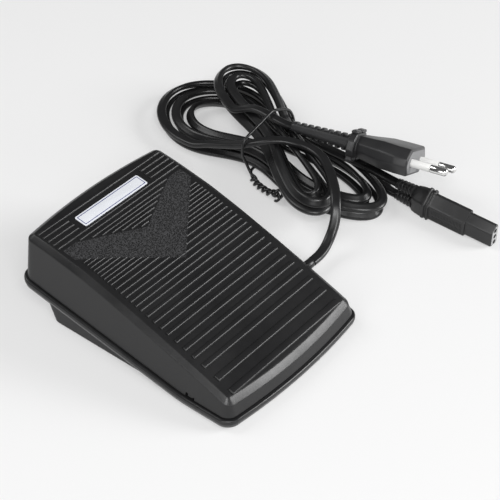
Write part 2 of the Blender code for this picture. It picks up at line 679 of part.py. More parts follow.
def lead_and_clamp(surfaces):
    """Sleeve in the side wall, the lead's inner end, its two wires, and the cord clamp."""
    inner = tub_half() - TUB_WALL
    outer = tub_half()
    r0, r1 = SLEEVE_RADII
    profile = [(SLEEVE_NECK + 1.1, inner - 2.0), (SLEEVE_NECK + 1.1, inner - CLEAR),
               (SLEEVE_NECK, inner - CLEAR), (SLEEVE_NECK, outer + CLEAR), (r0, outer + CLEAR)]
    for i in range(SLEEVE_GROOVES):
        x = outer + 3.0 + 3.6 * i
        r = r0 + (r1 - r0) * (i + 0.5) / SLEEVE_GROOVES
        profile += [(r, x), (r - 0.5, x + 0.4), (r - 0.5, x + 1.0), (r, x + 1.4)]
    profile.append((r1, SLEEVE_END_X))
    along_x = Matrix.Translation((0, LEAD_Y, LEAD_Z)) @ Matrix.Rotation(math.pi / 2, 4, "Y")
    part("lead_sleeve", [placed(turned(profile, 14), along_x)], surfaces["cord"])
    start, end = CLAMP_X[0] - 2.5, inner - 2.0 - CLEAR
    part("lead_inner", [rod((start, LEAD_Y, LEAD_Z), (end, LEAD_Y, LEAD_Z), CORD_RADIUS, 16)],
         surfaces["cord"])
    for i, y in enumerate((LEAD_Y - 1.0, LEAD_Y + 1.0)):
        x = TERMINAL_X + (-3.0 if i == 0 else 3.0)
        near = TERMINAL_Y - 4.0 - CLEAR
        route = ((start - CLEAR, y, LEAD_Z), (start - 3, y, LEAD_Z), (x + 3, y, 9.0),
                 (x + 0.5, y + 0.8, 12.0), (x, near - 2.5, 13.6), (x, near, 13.6))
        tube(f"lead_wire_{i + 1}", smooth_route(route, 16), 0.8, surfaces["wire"], 2)
    low, high = clamp_z()
    x0, x1 = CLAMP_X
    far = CLAMP_SCREW_Y + 2.2
    bridge = [(LEAD_Y - far, low + CLEAR), (LEAD_Y - far, high), (LEAD_Y - 3.6, high)]
    bridge += [(LEAD_Y - 2.6, high + 1.6), (LEAD_Y + 2.6, high + 1.6), (LEAD_Y + 3.6, high)]
    bridge += [(LEAD_Y + far, high), (LEAD_Y + far, low + CLEAR), (LEAD_Y + 2.9, low + CLEAR)]
    bridge += [(LEAD_Y + 1.9, LEAD_Z + 2.3), (LEAD_Y - 1.9, LEAD_Z + 2.3)]
    bridge += [(LEAD_Y - 2.9, low + CLEAR)]
    clamp = part("cord_clamp", [rings_to_shape([[(x, y, z) for y, z in bridge] for x in (x0, x1)])],
                 surfaces["white"])
    holes = [rod((x, y, 2), (x, y, 12), 1.2 + CLEAR, 12) for x, y in clamp_screws()]
    combine(clamp, "clamp_holes_shape", holes, "DIFFERENCE")
    for i, (x, y) in enumerate(clamp_screws()):
        shape = placed(screw_shape(1.2, 1.8, 5.5), Matrix.Translation((x, y, high + CLEAR + 1.2))
                       @ Matrix.Rotation(math.pi, 4, "X"))
        part(f"clamp_screw_{i + 1}", [shape], surfaces["steel"])


# ---------------------------------------------------------------- cords

def tube(name, points, radius, surface, resolution):
    """A round cord along a line of points, with flat ends."""
    data = bpy.data.curves.new(name, "CURVE")
    data.dimensions = "3D"
    data.bevel_depth = radius * MM
    data.bevel_resolution = resolution
    data.use_fill_caps = True
    spline = data.splines.new("POLY")
    spline.points.add(len(points) - 1)
    for target, p in zip(spline.points, points):
        target.co = (p[0] * MM, p[1] * MM, p[2] * MM, 1.0)
    data.materials.append(surface)
    item = bpy.data.objects.new(name, data)
    bpy.context.collection.objects.link(item)
    return item


class Hank:
    """Flat oval loops, drawn in at the waist, that spiral in on one layer and out on another."""

    def __init__(self, centre, along, half_length, half_widths, waist, height, side, phases):
        self.centre = np.array(centre, float)
        self.along = np.array(along, float) / np.linalg.norm(along)
        self.across = np.array((self.along[1], -self.along[0]))
        self.half_length = half_length
        self.rear, self.front = half_widths
        self.waist = waist
        self.height = height            # height of each of the two layers
        self.side = side                # which way round the loops run
        self.start, self.end = (math.radians(a) for a in phases)

    def point(self, phase):
        """A point of the centre line at a running angle."""
        turn = (phase - self.start) / (2 * math.pi)
        total = (self.end - self.start) / (2 * math.pi)
        inward = min(turn, total - turn)
        inward -= END_FLARE * max(0.0, 1.0 - inward / 0.12)
        reach = self.half_length - END_STEP * inward
        forward = reach * math.cos(phase)
        share = 0.5 * (1 + math.sin(math.pi / 2 * forward / self.half_length))
        open_half = self.front + (self.rear - self.front) * share
        drawn = math.exp(-(forward / WAIST_REACH) ** 2)
        half = open_half + (self.waist - open_half) * drawn
        lane = LANE_OPEN + (LANE - LANE_OPEN) * drawn
        swing = math.sin(phase)
        sideways = self.side * math.copysign(abs(swing) ** 0.8, swing) * (half - lane * inward)
        x, y = self.centre + forward * self.along + sideways * self.across
        low, high = self.height
        rise = np.clip((turn - total / 2) / 0.3 + 0.5, 0, 1)
        z = low + (high - low) * rise * rise * (3 - 2 * rise) + 1.35 * drawn
        return x, y, z

    def points(self):
        """Centre line of the whole hank, with a straight run at each end."""
        turns = (self.end - self.start) / (2 * math.pi)
        count = round(turns * LOOP_POINTS)
        line = []
        for i in range(count + 1):
            phase = self.start + (self.end - self.start) * i / count
            line.append(np.array(self.point(phase - END_CROWD * math.sin(2 * phase))))
        first = line[0] - line[1]
        last = line[-1] - line[-2]
        line.insert(0, line[0] + first / np.linalg.norm(first) * 2 * CORD_RADIUS)
        line.append(line[-1] + last / np.linalg.norm(last) * 2 * CORD_RADIUS)
        return line


def leave(line, first, reach=2 * CORD_RADIUS):
    """Two points that carry a cord straight on from one end of a hank, past a small gap."""
    end, before = (line[0], line[1]) if first else (line[-1], line[-2])
    out = (end - before) / np.linalg.norm(end - before)
    return [end + out * CLEAR, end + out * (CLEAR + reach)]


def least_gap(line):
    """Least space between the surface of a cord and the rest of itself, on sampled points."""
    runs = np.array(line)
    along = np.concatenate([[0], np.cumsum(np.linalg.norm(np.diff(runs, axis=0), axis=1))])
    places = np.arange(0, along[-1], 0.7)
    fine = np.stack([np.interp(places, along, runs[:, k]) for k in range(3)], axis=1)
    skip = int(8 * CORD_RADIUS / 0.7)
    best = min(np.linalg.norm(fine[i + skip:] - fine[i], axis=1).min()
               for i in range(len(fine) - skip))
    return float(best) - 2 * CORD_RADIUS


def cords(surfaces):
    """The pedal's cord and the mains cord, each with its hank and its free ends."""
    black = surfaces["cord"]
    first, second = Hank(**PEDAL_HANK).points(), Hank(**MAINS_HANK).points()
    for label, line in (("pedal", first), ("mains", second)):
        print(label, "hank: least gap to itself", round(least_gap(line), 2), "mm")
        tube(f"{label}_cord_hank", line, CORD_RADIUS, black, 1)
    gap = Vector((ROUTES_START[0] + CLEAR, ROUTES_START[1], LEAD_Z))
    start = [tuple(gap), (gap.x + 4.0, gap.y, gap.z)]
    free = start + list(FREE_ROUTE) + leave(first, True)[::-1]
    back = CONNECTOR_Y[4] + CLEAR + BOOT_LENGTH + CLEAR
    into = [[(BOOT_X, back + 6.0, z), (BOOT_X, back, z)] for z in BOOT_Z]
    tail = leave(first, False, 2.4) + list(PEDAL_TAIL_ROUTE) + into[0]
    mains = into[1][::-1] + list(MAINS_TAIL_ROUTE) + leave(second, True)[::-1]
    tip = plug_frame() @ Vector((0, 0, -PLUG_LENGTH - 2 * CLEAR - PLUG_BOOT))
    axis = Vector(PLUG_AXIS)
    plug_end = leave(second, False) + list(PLUG_END_ROUTE) + [tuple(tip - axis * 4.2), tuple(tip)]
    routes = (("pedal_cord_free", free, 38), ("pedal_cord_tail", tail, 24),
              ("mains_cord_tail", mains, 14), ("mains_cord_plug_end", plug_end, 18))
    for name, route, count in routes:
        tube(name, smooth_route(route, count), CORD_RADIUS, black, 2)
    for name, line in (("pedal", [free, first, tail]), ("mains", [mains, second, plug_end])):
        length = sum(float(np.linalg.norm(np.diff(np.array(smooth_route(run, 200)), axis=0),
                                          axis=1).sum()) for run in line)
        print(name, "cord length", round(length), "mm")


def plug_frame():
    """Matrix of the mains plug: local Z out along the pins, X from pin to pin, Y its thickness."""
    z = Vector(PLUG_AXIS).normalized()
    x = Vector(PLUG_SIDE)
    x = (x - z * z.dot(x)).normalized()
    turn = Matrix((x, z.cross(x), z)).transposed().to_4x4()
    return Matrix.Translation(Vector(PLUG_FACE)) @ turn


def mains_plug(surfaces):
    """Flat two-pin plug: body, ribbed boot, and two pins with sleeves at their roots."""
    frame = plug_frame()
    w, t, back = PLUG_WIDTH, PLUG_THICK, -PLUG_LENGTH
    body = slab([(13, 10, 3, back), (22, 12.6, 3.5, back + 0.8), (22, 12.6, 3.5, back + 4),
                 (17, 11, 3.5, back + 4.6), (20, 11.4, 3.8, back + 8), (w - 5, t, 4.5, -16),
                 (w, t, 5, -7), (w, t, 5, -0.8), (w - 1.6, t - 1.6, 4.2, 0)])
    item = part("plug_body", [placed(body, frame)], surfaces["plug"])
    roots = []
    for i, side in enumerate((-1, 1)):
        foot = frame @ Vector((side * PIN_REACH, 0, -6.0))
        tip = frame @ Vector((side * (PIN_REACH - 0.4), 0, PIN_LENGTH))
        here = aim(foot, tip - foot)
        root = 6.0 + PIN_SLEEVE
        pin = turned([(1.5, 0), (1.5, root), (PIN_RADIUS, root), (PIN_RADIUS, root + 8.2),
                      (PIN_RADIUS - 0.8, root + 9.0)])
        sleeve = turned([(1.5 + CLEAR, 0.4), (PIN_RADIUS, 0.4), (PIN_RADIUS, root - CLEAR),
                         (1.5 + CLEAR, root - CLEAR)], closed=True)
        part(f"plug_pin_{i + 1}", [placed(pin, here)], surfaces["chrome"])
        part(f"pin_sleeve_{i + 1}", [placed(sleeve, here)], surfaces["white"])
        roots.append(placed(turned([(PIN_RADIUS + CLEAR, -CLEAR), (PIN_RADIUS + CLEAR, 12.0)]), here))
    combine(item, "pin_roots_shape", roots, "DIFFERENCE")
    boot_end = back - CLEAR
    boot = [(w, h, min(w, h) * 0.45, boot_end - z) for w, h, z in boot_sections()]
    part("plug_boot", [placed(slab(boot[::-1], 2), frame)], surfaces["plug"])


def boot_sections():
    """Width, thickness and distance of the boot's ribs, from the plug's back to its tip."""
    yield 12.0, 9.0, 0.0
    for i in range(BOOT_RIBS):
        share = i / BOOT_RIBS
        w, h = 12.0 - 4.6 * share, 9.0 - 3.2 * share
        z = 1.2 + i * (PLUG_BOOT - 3.0) / BOOT_RIBS
        yield w, h, z
        yield w, h, z + 1.6
        yield w - 1.8, h - 0.9, z + 2.0
        yield w - 1.8, h - 0.9, z + 3.2
    yield 6.2, 5.4, PLUG_BOOT


def connector(surfaces):
    """Machine connector on its narrow side: body with a sloped edge, boots and contacts."""
    nose, step, flange, housing, back = CONNECTOR_Y
    wide, tall = CONNECTOR_SIZE

    def section(y, grow, low, slope=CONNECTOR_SLOPE):
        x0, x1 = CONNECTOR_X - grow, CONNECTOR_X + wide + grow
        z0, z1 = CONNECTOR_Z + low, CONNECTOR_Z + tall + grow
        return [(x0, y, z0), (x0, y, z1 - slope), (x0 + slope, y, z1), (x1 - 1, y, z1),
                (x1, y, z1 - 1), (x1, y, z0)]
    rings = [section(nose, -0.9, 0.8, 4.6), section(step, -0.9, 0.8, 4.6), section(step, 0, 0.2),
             section(flange, 0, 0.2), section(flange, 1.2, 0), section(flange + 0.9, 1.2, 0),
             section(flange + 0.9, 0.5, 0.1), section(housing, 0.5, 0.1), section(housing, 1.2, 0),
             section(housing + 1.6, 1.2, 0), section(back, -0.4, 0.4)]
    body = part("connector_body", [rings_to_shape(rings)], surfaces["cord"])
    holes, names = [], []
    middle = CONNECTOR_X + wide / 2 + 0.3
    for i in range(3):
        z = CONNECTOR_Z + 2.6 + 3.3 * i
        holes.append(rod((middle, nose - 1, z), (middle, nose + 9.0, z), 1.2, 12))
        names.append((f"connector_contact_{i + 1}", z))
    combine(body, "contact_holes_shape", holes, "DIFFERENCE")
    for name, z in names:
        ring = turned([(0.5, 0), (0.9, 0), (0.9, 7.0), (0.5, 7.0)], 12, closed=True)
        start = aim((middle, nose + 8.7, z), (0, -1, 0))
        part(name, [placed(ring, start)], surfaces["brass"])
    for name, z in zip(("connector_boot_a", "connector_boot_b"), BOOT_Z):
        profile = [(BOOT_RADIUS - 0.2, 0.0)]
        for i in range(3):
            y = 0.6 + 3.0 * i
            r = BOOT_RADIUS - 0.1 * i
            profile += [(r, y), (r, y + 1.5), (r - 0.7, y + 1.8), (r - 0.7, y + 2.7)]
        profile.append((BOOT_RADIUS - 0.6, BOOT_LENGTH))
        boot = placed(turned(profile, 12), aim((BOOT_X, back + CLEAR, z), (0, 1, 0)))
        part(name, [boot], surfaces["cord"])


def twist_tie(surfaces):
    """A plastic-coated wire once round both hanks, its two ends twisted at the left front."""
    ring = [(96.6, TIE_Y - 8, 4.6), (96.4, TIE_Y - 1, 12.0), (97.2, TIE_Y, 20.0),
            (100.4, TIE_Y, 25.2), (108.0, TIE_Y, 27.0), (117.0, TIE_Y, 29.0),
            (127.0, TIE_Y, 27.6), (137.6, TIE_Y, 21.0), (143.0, TIE_Y, 12.0),
            (145.6, TIE_Y, 3.0), (142.6, TIE_Y, 0.85), (121.0, TIE_Y, 0.85),
            (103.0, TIE_Y, 0.85), (98.6, TIE_Y - 4, 1.4), (94.6, TIE_Y - 10, 2.4)]
    line = smooth_route(ring, 40)
    start, out = Vector((94.2, TIE_Y - 12, 3.6)), Vector((0.10, -0.995, 0.0))
    side = out.cross(Vector((0, 0, 1))).normalized()
    up = side.cross(out)

    def strand(offset, reach, turns):
        made = []
        for i in range(turns * TIE_STEPS + 1):
            a = offset + 2 * math.pi * i / TIE_STEPS
            at = start + out * (1.5 + reach * i / (turns * TIE_STEPS))
            made.append(tuple(at + (side * math.cos(a) + up * math.sin(a)) * 0.95))
        return made
    ends = strand(math.pi / 2, 20.0, 4)[::-1], strand(-math.pi / 2, 20.0, 4)
    tube("twist_tie", ends[0] + line[1:-1] + ends[1], TIE_RADIUS, surfaces["cord"], 1)


def smooth_route(route, count):
    """Evenly spaced points on a smooth curve through the route's own points."""
    knots = np.array(route, float)
    ends = np.vstack([2 * knots[0] - knots[1], knots, 2 * knots[-1] - knots[-2]])
    fine = []
    for k in range(1, len(ends) - 2):
        p0, p1, p2, p3 = ends[k - 1:k + 3]
        for t in np.linspace(0, 1, 40, endpoint=False):
            fine.append(0.5 * (2 * p1 + (p2 - p0) * t + (2 * p0 - 5 * p1 + 4 * p2 - p3) * t ** 2
                               + (3 * p1 - p0 - 3 * p2 + p3) * t ** 3))
    fine.append(knots[-1])
    fine = np.array(fine)
    along = np.concatenate([[0], np.cumsum(np.linalg.norm(np.diff(fine, axis=0), axis=1))])
    wanted = np.linspace(0, along[-1], count)
    return [tuple(np.interp(w, along, fine[:, k]) for k in range(3)) for w in wanted]


def follow_the_lead(items):
    """Carry the cords and what hangs on them to where the lead's sleeve ends."""
    start = bpy.data.objects.new("cord_start", None)
    start.location = Vector((SLEEVE_END_X - ROUTES_START[0], LEAD_Y - ROUTES_START[1], 0)) * MM
    bpy.context.collection.objects.link(start)
    for item in items:
        item.parent = start


def main():
    """Build every piece."""
    clear_scene()
    surfaces = {
        "shell": material("dark_plastic", (0.028, 0.029, 0.032), 0.42),
        "tub": material("base_plastic", (0.020, 0.020, 0.022), 0.55),
        "label": material("label_white", (0.78, 0.79, 0.80), 0.35),
        "rubber": material("black_rubber", (0.015, 0.015, 0.015), 0.85),
        "cord": material("cord_vinyl", (0.020, 0.020, 0.021), 0.5),
        "wire": material("wire_brown", (0.16, 0.06, 0.03), 0.5),
        "white": material("white_plastic", (0.72, 0.71, 0.68), 0.4),
        "black": material("black_resin", (0.02, 0.02, 0.02), 0.4),
        "pot": material("blue_resin", (0.05, 0.12, 0.35), 0.4),
        "capacitor": material("ochre_resin", (0.45, 0.22, 0.04), 0.4),
        "copper": material("copper_wire", (0.55, 0.22, 0.09), 0.35, 1.0),
        "ceramic": material("cement", (0.55, 0.53, 0.50), 0.8),
        "trimmer": material("trimmer_blue", (0.03, 0.10, 0.40), 0.4),
        "terminal": material("terminal_green", (0.03, 0.22, 0.08), 0.45),
        "board": material("board_brown", (0.22, 0.13, 0.05), 0.6),
        "steel": material("zinc_steel", (0.62, 0.62, 0.63), 0.35, 1.0),
        "brass": material("brass", (0.60, 0.42, 0.16), 0.35, 1.0),
        "chrome": material("nickel", (0.75, 0.75, 0.74), 0.18, 1.0),
        "plug": material("plug_vinyl", (0.024, 0.024, 0.026), 0.45),
        "metal": material("aluminium", (0.70, 0.71, 0.72), 0.45, 1.0),
    }
    pivot = bpy.data.objects.new("treadle_pivot", None)
    pivot.location = Vector((0, PIVOT_Y, PIVOT_Z)) * MM
    bpy.context.collection.objects.link(pivot)
    treadle_cover(pivot, surfaces["shell"])
    rim_frame(pivot, surfaces["shell"])
    label_plate(pivot, surfaces["label"])
    rim_screws(pivot, surfaces["steel"])
    base_tub(surfaces["tub"])
    rubber_feet(surfaces["rubber"])
    pivot_rod(surfaces["steel"])
    return_springs(surfaces["steel"])
    circuit_board(surfaces["board"])
    electrics(surfaces)
    lead_and_clamp(surfaces)
    pedal = set(bpy.data.objects)
    cords(surfaces)
    connector(surfaces)
    mains_plug(surfaces)
    twist_tie(surfaces)
    follow_the_lead([item for item in bpy.data.objects if item not in pedal])


if __name__ == "__main__":
    main()
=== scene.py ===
"""Visual model of a sewing machine's foot pedal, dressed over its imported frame.

Lengths in the classes are millimetres in the pedal's own frame: X is across the pedal, Y runs
from its low heel end to its high toe end, Z is up. A mesh is turned into metres when it is made.
"""

import logging
import math
from dataclasses import dataclass
from enum import Enum
from typing import Iterable, Sequence

import bmesh
import bpy
import numpy as np
from mathutils import Matrix, Vector


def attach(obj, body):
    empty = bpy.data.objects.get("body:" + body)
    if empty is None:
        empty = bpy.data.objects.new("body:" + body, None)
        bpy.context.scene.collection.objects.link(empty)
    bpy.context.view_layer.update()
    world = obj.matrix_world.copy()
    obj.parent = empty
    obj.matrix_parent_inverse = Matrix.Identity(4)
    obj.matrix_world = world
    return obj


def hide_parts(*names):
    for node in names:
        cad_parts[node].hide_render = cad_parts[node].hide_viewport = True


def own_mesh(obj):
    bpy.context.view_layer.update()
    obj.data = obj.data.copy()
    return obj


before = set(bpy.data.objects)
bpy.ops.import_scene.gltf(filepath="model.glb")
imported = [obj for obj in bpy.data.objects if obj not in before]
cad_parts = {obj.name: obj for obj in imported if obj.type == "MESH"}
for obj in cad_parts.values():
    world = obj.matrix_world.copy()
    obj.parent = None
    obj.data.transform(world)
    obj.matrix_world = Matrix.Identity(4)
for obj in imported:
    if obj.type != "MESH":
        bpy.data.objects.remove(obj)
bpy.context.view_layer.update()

MM = 0.001
GAP = 0.3  # space between pieces that touch, as in the frame
WELD = 2e-7  # metres, within which the points of a piece are one
SHARP = 38.0  # degrees, above which an edge is drawn sharp
CEILING = 1.9  # from the tread down to where the cover's inner posts end
Colour = tuple[float, float, float]
logger = logging.getLogger("foot_pedal")


class Body(Enum):
    """The rigid bodies of the frame that pieces ride on."""

    BASE = "base"
    TREADLE = "treadle"


# ------------------------------------------------------------------ surfaces


@dataclass
class Surface:
    """Points in millimetres, and the faces that join them."""

    points: np.ndarray
    faces: list

    def moved(self, matrix: Matrix) -> "Surface":
        """Return the surface carried by a 4 x 4 matrix: each point times the matrix."""
        m = np.array(matrix)
        return Surface(self.points @ m[:3, :3].T + m[:3, 3], self.faces)

    def at(self, x: float, y: float, z: float = 0.0) -> "Surface":
        """Return the surface shifted by (x, y, z)."""
        return self.moved(Matrix.Translation((x, y, z)))


def joined(surfaces: Iterable[Surface]) -> Surface:
    """Put several surfaces in one.

    Args:
        surfaces: the surfaces, each with its own numbering.

    Returns:
        One surface whose faces are renumbered by the points before them.
    """
    points, faces, start = [], [], 0
    for surface in surfaces:
        points.append(surface.points)
        faces += [tuple(start + i for i in face) for face in surface.faces]
        start += len(surface.points)
    return Surface(np.concatenate(points), faces)


def skin(grid: np.ndarray, caps: bool = True) -> Surface:
    """Join a stack of closed rings into quads: point (i, j) to (i + 1, j) and (i, j + 1).

    Args:
        grid: rings x points x 3.
        caps: whether the first and last rings are filled with one face.

    Returns:
        The surface.
    """
    rows, columns = grid.shape[:2]
    i = np.arange(rows - 1)[:, None] * columns
    j = np.arange(columns)[None, :]
    right = (j + 1) % columns
    quads = np.stack([i + j, i + right, i + columns + right, i + columns + j], axis=-1)
    faces = [tuple(face) for face in quads.reshape(-1, 4).tolist()]
    if caps:
        faces.append(tuple(range(columns))[::-1])
        faces.append(tuple(range((rows - 1) * columns, rows * columns)))
    return Surface(grid.reshape(-1, 3), faces)


def banded(grid: np.ndarray) -> Surface:
    """Join rings that are mirrored about X = 0, and fill the end rings with strips across X.

    The strip k of a cap joins point k and its mirror point n - k to the next such pair, so a
    cap follows every bend of the ring along Y. Each ring of the grid starts on X = 0.
    """
    surface = skin(grid, caps=False)
    rows, n = grid.shape[:2]
    half = n // 2
    for start in (0, (rows - 1) * n):
        surface.faces.append((start, start + 1, start + n - 1))
        surface.faces += [(start + k, start + k + 1, start + n - k - 1, start + n - k)
                          for k in range(1, half - 1)]
        surface.faces.append((start + half - 1, start + half, start + half + 1))
    return surface


def turned(profile: Sequence[tuple[float, float]], segments: int = 40) -> Surface:
    """Turn a profile about Z: (r, z) goes to (r cos a, r sin a, z) for a round the circle.

    Args:
        profile: pairs of radius and height. A radius of 0 makes a pole.
        segments: number of steps round.

    Returns:
        The closed surface.
    """
    line = np.array(profile, float)
    a = np.linspace(0, 2 * math.pi, segments, endpoint=False)
    r, z = line[:, 0, None], line[:, 1, None]
    grid = np.stack([r * np.cos(a), r * np.sin(a), z + 0 * a], axis=-1)
    return skin(grid, caps=bool(line[0, 0] > 1e-6))


def softened(corners: np.ndarray, radius: float, steps: int = 5) -> np.ndarray:
    """Round the corners of closed polygons.

    Each corner K becomes the curve (1-t)^2 A + 2t(1-t) K + t^2 B, where A and B lie on the two
    edges at the radius from K, or at 0.45 of a short edge.

    Args:
        corners: ... x corners x 2 points.
        radius: distance from the corner to the ends of its curve.
        steps: points on each corner's curve.

    Returns:
        ... x (corners * steps) x 2 points.
    """
    t = np.linspace(0, 1, steps)[:, None]
    ends = []
    for other in (np.roll(corners, 1, axis=-2), np.roll(corners, -1, axis=-2)):
        edge = other - corners
        length = np.linalg.norm(edge, axis=-1, keepdims=True) + 1e-9
        ends.append(corners + edge / length * np.minimum(radius, 0.45 * length))
    a, k, b = ends[0][..., None, :], corners[..., None, :], ends[1][..., None, :]
    curve = (1 - t) ** 2 * a + 2 * t * (1 - t) * k + t ** 2 * b
    return curve.reshape(*corners.shape[:-2], -1, 2)


def rectangle(width: np.ndarray, height: np.ndarray, radius: float, steps: int = 6) -> np.ndarray:
    """Return rounded rectangles about the centre, one for each width and height."""
    signs = np.array([(1, 1), (-1, 1), (-1, -1), (1, -1)]) / 2
    size = np.stack([np.asarray(width, float), np.asarray(height, float)], axis=-1)
    return softened(size[..., None, :] * signs, radius, steps)


def stacked(sections: np.ndarray, heights: np.ndarray) -> Surface:
    """Loft closed sections along Z: section k lies at heights[k], and the ends are filled."""
    z = np.broadcast_to(heights[:, None, None], (*sections.shape[:2], 1))
    return skin(np.concatenate([sections, z], axis=-1))


def block(centre: Sequence[float], size: Sequence[float], bevel: float = 0.25) -> Surface:
    """Return a box with rounded upright edges and bevelled top and bottom."""
    w, d, h = size
    inset = np.array([2 * bevel, 0.0, 0.0, 2 * bevel])
    z = np.array([-h / 2, -h / 2 + bevel, h / 2 - bevel, h / 2]) + centre[2]
    ring = rectangle(w - inset, d - inset, 2 * bevel, 3) + np.array(centre[:2])
    return stacked(ring, z)


def even(path: np.ndarray, step: float) -> np.ndarray:
    """Return points at an even distance along a line of points."""
    along = np.concatenate([[0], np.cumsum(np.linalg.norm(np.diff(path, axis=0), axis=1))])
    places = np.linspace(0, along[-1], max(2, round(along[-1] / step)) + 1)
    return np.stack([np.interp(places, along, path[:, k]) for k in range(3)], axis=1)


def curve_through(knots: Sequence[Sequence[float]], per_span: int = 24) -> np.ndarray:
    """Return a smooth curve through knots.

    On each span the point is half of 2 p1 + (p2 - p0) t + (2 p0 - 5 p1 + 4 p2 - p3) t^2 +
    (3 p1 - p0 - 3 p2 + p3) t^3, with one knot mirrored past each end.
    """
    p = np.array(knots, float)
    p = np.vstack([2 * p[0] - p[1], p, 2 * p[-1] - p[-2]])
    t = np.linspace(0, 1, per_span, endpoint=False)[None, :, None]
    a, b, c, d = (p[k:len(p) - 3 + k, None] for k in range(4))
    spans = 0.5 * (2 * b + (c - a) * t + (2 * a - 5 * b + 4 * c - d) * t ** 2
                   + (3 * b - a - 3 * c + d) * t ** 3)
    return np.vstack([spans.reshape(-1, 3), p[-2]])


def calmed(path: np.ndarray, rounds: int) -> np.ndarray:
    """Smooth a line: each inner point becomes 1/4, 1/2, 1/4 of itself and its neighbours."""
    for _ in range(rounds):
        path = np.vstack([path[0], (path[:-2] + 2 * path[1:-1] + path[2:]) / 4, path[-1]])
    return path


def swept(path: np.ndarray, ring: np.ndarray, tilt: np.ndarray | float = 0.0) -> Surface:
    """Carry a flat ring along a path.

    The ring's first axis lies level across the path and its second is square to both. The
    ring is turned by the tilt about the path's direction.

    Args:
        path: points of the centre line.
        ring: points (across, up) of the section.
        tilt: angle in radians, one for all or one for each point.

    Returns:
        The closed tube.
    """
    ahead = np.gradient(path, axis=0)
    ahead /= np.linalg.norm(ahead, axis=1, keepdims=True)
    across = np.cross(ahead, (0.0, 0.0, 1.0))
    across /= np.linalg.norm(across, axis=1, keepdims=True) + 1e-9
    across = calmed(across, 6)
    across /= np.linalg.norm(across, axis=1, keepdims=True) + 1e-9
    up = np.cross(across, ahead)
    turn = np.broadcast_to(tilt, len(path))[:, None]
    first = np.cos(turn) * across + np.sin(turn) * up
    second = np.cos(turn) * up - np.sin(turn) * across
    return skin(path[:, None] + ring[None, :, :1] * first[:, None]
                + ring[None, :, 1:] * second[:, None])


def circle(radius: float, points: int = 14) -> np.ndarray:
    """Return a ring of points (radius cos a, radius sin a)."""
    a = np.linspace(0, 2 * math.pi, points, endpoint=False)
    return radius * np.stack([np.cos(a), np.sin(a)], axis=-1)


def stand(origin: Sequence[float], direction: Sequence[float], side: Sequence[float]) -> Matrix:
    """Return the matrix that stands Z along a direction and lays X near a side direction."""
    z = Vector(direction).normalized()
    x = Vector(side)
    x = (x - z * z.dot(x)).normalized()
    return Matrix.Translation(Vector(origin)) @ Matrix((x, z.cross(x), z)).transposed().to_4x4()


def shaped(name: str, surface: Surface, weld: bool) -> bpy.types.Object:
    """Make an object in the scene from a surface, in metres, with its normals outward.

    Args:
        name: the object's name.
        surface: its shape in millimetres.
        weld: whether points that coincide become one.

    Returns:
        The object, at the origin.
    """
    mesh = bpy.data.meshes.new(name)
    mesh.from_pydata((surface.points * MM).tolist(), [], surface.faces)
    bm = bmesh.new()
    bm.from_mesh(mesh)
    if weld:
        bmesh.ops.remove_doubles(bm, verts=bm.verts, dist=WELD)
    bmesh.ops.recalc_face_normals(bm, faces=bm.faces)
    bm.to_mesh(mesh)
    bm.free()
    made = bpy.data.objects.new(name, mesh)
    bpy.context.scene.collection.objects.link(made)
    return made


def smoothed(mesh: bpy.types.Mesh, angle: float) -> None:
    """Shade a mesh smooth, with the edges sharper than an angle in degrees left sharp."""
    mesh.shade_smooth()
    mesh.set_sharp_from_angle(angle=math.radians(angle))


def piece(name: str, surface: Surface, finish: "Finish", *replaces: str,
          body: Body = Body.BASE, angle: float = SHARP) -> bpy.types.Object:
    """Make one piece of the object.

    Args:
        name: the piece's name.
        surface: its shape in millimetres.
        finish: its finish.
        replaces: nodes of the frame that it stands for.
        body: the body that it rides on.
        angle: edges sharper than this many degrees stay sharp.

    Returns:
        The object, at the origin.
    """
    made = shaped(name, surface, True)
    smoothed(made.data, angle)
    made.data.materials.append(finish.material())
    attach(made, body.value)
    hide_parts(*replaces)
    logger.info("%s: %d faces, rides on %s", name, len(made.data.polygons), body.value)
    return made


def carved(target: bpy.types.Object, cuts: Surface) -> None:
    """Cut a closed surface out of a piece, and keep the result as the piece's own mesh."""
    cutter = shaped("cutter", cuts, False)
    step = target.modifiers.new("cut", "BOOLEAN")
    step.operation, step.solver, step.object = "DIFFERENCE", "EXACT", cutter
    bpy.context.view_layer.update()
    graph = bpy.context.evaluated_depsgraph_get()
    result = bpy.data.meshes.new_from_object(target.evaluated_get(graph))
    target.modifiers.remove(step)
    target.data = result
    bpy.data.objects.remove(cutter)
    smoothed(result, SHARP)


# ------------------------------------------------------------------ finishes


class Nodes:
    """A node tree with a short way to add and link nodes."""

    def __init__(self, tree: bpy.types.NodeTree) -> None:
        """Keep the tree."""
        self.tree = tree

    def add(self, kind: str, inputs: dict | None = None, **settings: object) -> bpy.types.Node:
        """Add a node.

        Args:
            kind: the node's type name.
            inputs: values or output sockets for its inputs, by name or number.
            settings: attributes of the node itself.

        Returns:
            The node.
        """
        node = self.tree.nodes.new(kind)
        for name, value in settings.items():
            setattr(node, name, value)
        for key, value in (inputs or {}).items():
            if isinstance(value, bpy.types.NodeSocket):
                self.tree.links.new(value, node.inputs[key])
            else:
                node.inputs[key].default_value = value
        return node

    def maths(self, operation: str, *values: object) -> bpy.types.NodeSocket:
        """Add one Math node and return its result."""
        return self.add("ShaderNodeMath", dict(enumerate(values)), operation=operation).outputs[0]


